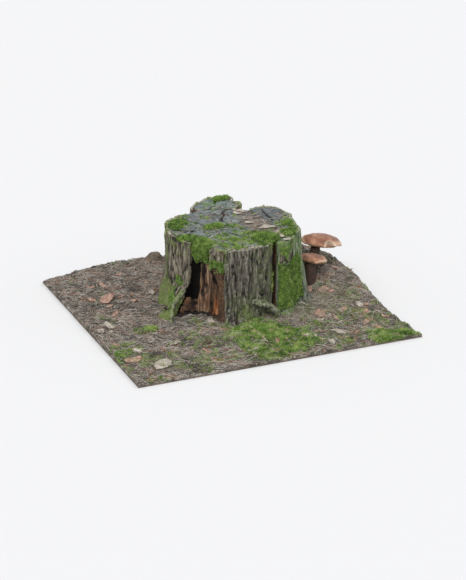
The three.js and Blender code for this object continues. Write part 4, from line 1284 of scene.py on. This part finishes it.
def ground_moss(rng, ground):
    """Moss shoots over the carpets and tufts, and in patches elsewhere, most of them at the front."""
    def growth(p):
        return smoothstep(-0.6, 0.5, fractal(p * 24, 3, seed=77))

    for node, count in zip(CARPET_NODES, CARPET_SHOOTS):
        base = bpy.data.objects[node + "_base"]
        at, facing = over(base, count, rng, lambda p, n: (n[:, 2] > 0.3) * growth(p))
        coat = new_object(node + "_shoots", *shoots(rng, at, facing, (0.004, 0.010), 0.0010, 0.5))
        finished(coat, MOSS_FINISH, "ground_moss")
    around = eased((ground.lift > 0.002).astype(float), round(0.03 / ground.cell))

    def mossy(x, y):
        flat = np.column_stack([x, y, 0 * x])
        front = smoothstep(0.1, -0.3, y)
        beside = ground.looked_up(around, x, y)
        wish = fractal(flat * 13, 3, seed=79) + 0.45 * front + 1.8 * beside
        patch = smoothstep(0.6 - 0.65 * front, 1.1 - 0.7 * front, wish)
        return patch * smoothstep(-0.4, 0.3, fractal(flat * 55, 2, seed=78))

    at = strewn(rng, STRAY_SHOOTS, ground, 0.5, mossy)
    at = at[edge_kept(at[:, 0], at[:, 1], -0.002)]
    z = ground.height(at[:, 0], at[:, 1])
    points = np.column_stack([at, z])
    upward = np.tile([0, 0, 1.0], (len(at), 1))
    spots = new_object("moss_spots", *shoots(rng, points, upward, (0.004, 0.009), 0.0010, 0.6))
    finished(spots, MOSS_FINISH, "ground_moss")


TOP_PIECES = [
    "main_wood", "right_wood", "rear_wood", "seam_packing", "bark_left_side", "bark_right", "bark_rear_stem",
    "stave_left", "stave_middle", "stave_right", "cleft",
]


def top_litter(rng):
    """Needles, crumbs and pale leaves lying on the sawn top, thickest over its seam."""
    bpy.context.view_layer.update()
    tree, _ = caster([bpy.data.objects[name] for name in TOP_PIECES])

    def height(x, y):
        z = np.full(x.size, np.nan)
        for i, (a, b) in enumerate(zip(x.ravel(), y.ravel())):
            hit = tree.ray_cast(Vector((a, b, ABOVE)), DOWN)[0]
            if hit is not None and hit.z > SAWN_LOWEST:
                z[i] = hit.z
        return z.reshape(x.shape)

    low, high = (np.array(c[:2]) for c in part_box("seam_litter"))
    seam_middle, seam_spread = (low + high) / 2, (high - low) * [0.42, 0.5]
    stems = ("main_stem_wood", "right_stem_wood")
    plan = [np.array(corner[:2]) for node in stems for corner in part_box(node)]
    corner, far_corner = np.min(plan, axis=0), np.max(plan, axis=0)
    seam = rng.normal(0, seam_spread, (900, 2)) + seam_middle
    places = np.concatenate([seam, rng.uniform(corner, far_corner, (1300, 2))])
    turn = rng.uniform(0, 2 * np.pi, len(places))[:, None]
    t = np.linspace(0, 1, 4)[None]
    long = rng.uniform(0.018, 0.05, (len(places), 1))
    bend = rng.normal(0, 0.12, (len(places), 1)) * long * t**2
    x, y = laid(places[:, :1], places[:, 1:], long * t, bend, turn)
    z = height(x, y)
    kept = ~np.isnan(z).any(1)
    x, y, z = x[kept], y[kept], z[kept]
    chord = z[:, :1] + (z[:, -1:] - z[:, :1]) * t
    z = np.maximum(z, chord) + 0.0008 + 0.003 * rng.random((len(z), 1)) ** 2
    radii = 0.00055 * rng.uniform(0.8, 1.25, (len(x), 1)) * NEEDLE_TAPER
    tints = random_tints(rng, len(x), 0.48)
    strand_piece("top_needles", np.stack([x, y, z], -1), radii, tints, NEEDLE_FINISH, "seam_litter")

    seam = rng.normal(0, seam_spread, (420, 2)) + seam_middle
    places = np.concatenate([seam, rng.uniform(corner, far_corner, (500, 2))])
    z = height(places[:, 0], places[:, 1])
    kept = ~np.isnan(z)
    crumbs = new_object("top_crumbs", *chips(rng, places[kept], z[kept] + 0.001, (0.004, 0.013)))
    finished(crumbs, CHIP_FINISH, "seam_litter")

    parts = []
    for x, y in rng.uniform(seam_middle - seam_spread * 3, seam_middle + seam_spread * 3, (14, 2)):
        long = rng.uniform(0.024, 0.05)
        wide = long * rng.uniform(0.55, 0.7)
        z = height(np.array([x]), np.array([y]))[0]
        if np.isnan(z):
            continue
        turn = rng.uniform(0, FULL_TURN)
        parts.append(leaf_mesh(rng, (x, y), (long, wide), turn, 0.004, 0, lambda a, b: z + 0.003 + 0 * a))
    joined_piece("top_leaves", parts, GREY_LEAF, "grey_leaf")


def clod_piece():
    lumpy(
        "clod", "clod_back", 0.003, 5, SOIL_FINISH, "soil",
        lambda co: 0.006 * fractal(co * 55, 4, seed=111),
    )


# ---------- camera and light ----------
AZIMUTH, ELEVATION, DISTANCE = math.radians(-23.83), math.radians(20.86), 5.4527
TARGET = Vector((0.0078, -0.0725, 0.100))
LENS, SENSOR = 90.0, 36.0  # millimetres
FLOOR_HALF, FLOOR_LEVEL = 30, -0.001


def camera():
    data = bpy.data.cameras.new("camera")
    data.lens, data.sensor_width = LENS, SENSOR
    thing = bpy.data.objects.new("camera", data)
    bpy.context.scene.collection.objects.link(thing)
    flat = math.cos(ELEVATION) * DISTANCE
    away = Vector((math.sin(AZIMUTH) * flat, -math.cos(AZIMUTH) * flat, math.sin(ELEVATION) * DISTANCE))
    thing.location = TARGET + away
    thing.rotation_euler = (-away).to_track_quat("-Z", "Y").to_euler()
    bpy.context.scene.camera = thing


def lamp(name, place, softness, strength, colour):
    data = bpy.data.lights.new(name, "SUN")
    data.angle = softness
    data.energy = strength
    data.color = colour
    thing = bpy.data.objects.new(name, data)
    thing.location = place
    thing.rotation_euler = (Vector((0, 0, 0.1)) - Vector(place)).to_track_quat("-Z", "Y").to_euler()
    bpy.context.scene.collection.objects.link(thing)


def studio():
    world = bpy.data.worlds.new("world")
    world.use_nodes = True
    sky = world.node_tree.nodes["Background"].inputs
    sky["Color"].default_value = (0.905, 0.912, 0.93, 1)
    sky["Strength"].default_value = 0.86
    bpy.context.scene.world = world
    bpy.context.scene.view_settings.view_transform = "Standard"
    lamp("key", (-2.2, -2.6, 3.6), 0.45, 1.7, (1.0, 0.985, 0.96))
    lamp("fill", (3.0, -1.5, 2.6), 0.8, 0.5, (0.95, 0.98, 1.0))
    corners = [(x * FLOOR_HALF, y * FLOOR_HALF, FLOOR_LEVEL) for x, y in ((-1, -1), (1, -1), (1, 1), (-1, 1))]
    floor = new_object("floor", np.array(corners), [np.array([[0, 1, 2, 3]])])
    finish = Finish("floor", 0.9)
    finish.shader.inputs["Base Color"].default_value = (0.735, 0.735, 0.74, 1)
    finish.shader.inputs["Specular IOR Level"].default_value = 0.1
    floor.data.materials.append(finish.material)


# ---------- the scene, in the order of its random draws ----------
MOSS_COATS = {  # each CAD cushion's count of shoots, and the pieces that its shoots stray onto
    "moss_root_left": (1000, ["bark_left_side"]),
    "moss_beard_left": (900, ["main_wood"]),
    "moss_beard_middle": (800, ["main_wood", "stave_left"]),
    "moss_column_right": (3000, ["bark_right", "cleft"]),
    "moss_upper_right": (500, ["bark_right"]),
    "moss_rim_front": (2600, ["main_wood", "bark_left_side"]),
    "moss_top_right": (1900, ["main_wood", "stave_right", "cleft", "right_wood"]),
    "moss_knob_right": (800, ["right_wood", "bark_right"]),
    "moss_edge_right": (500, ["right_wood", "bark_right"]),
    "moss_patch_left": (1100, ["main_wood", "bark_left_side"]),
    "moss_patch_middle": (900, ["main_wood"]),
    "moss_rear_edge": (600, ["rear_wood", "bark_rear_stem"]),
}
THIN_MOSS = ("moss_root_left", "moss_upper_right", "moss_beard_middle")
NEEDLES_FRONT, NEEDLES_BACK = 11500, 7500


def loose_needle_pieces(rng, ground):
    """Needles over the front and the back half of the patch, few of them on the moss carpets."""
    def off_moss(x, y):
        return 1 - 0.75 * smoothstep(0.0, 0.004, ground.looked_up(ground.lift, x, y))

    loose_needles("needles_front", rng, ground, NEEDLES_FRONT, lambda x, y: (y < 0) * off_moss(x, y))
    loose_needles("needles_back", rng, ground, NEEDLES_BACK, lambda x, y: (y >= 0) * off_moss(x, y))


camera()
studio()
RNG = np.random.default_rng(11)
GROUND = ground_pieces()
clod_piece()
wood_pieces()
bark_pieces()
rot_pieces()
for moss_node, (shoot_count, moss_hosts) in MOSS_COATS.items():
    moss_piece(moss_node, RNG, shoot_count, moss_hosts, moss_node in THIN_MOSS)
top_moss(RNG)
ground_moss(RNG, GROUND)
mushroom("upper", torn=(0.56, -0.09))
mushroom("lower")
loose_needle_pieces(RNG, GROUND)
chip_pieces(RNG, GROUND)
leaf_pieces(RNG, GROUND)
stick_pieces(RNG, GROUND)
grass_tussock(RNG, GROUND)
top_litter(RNG)
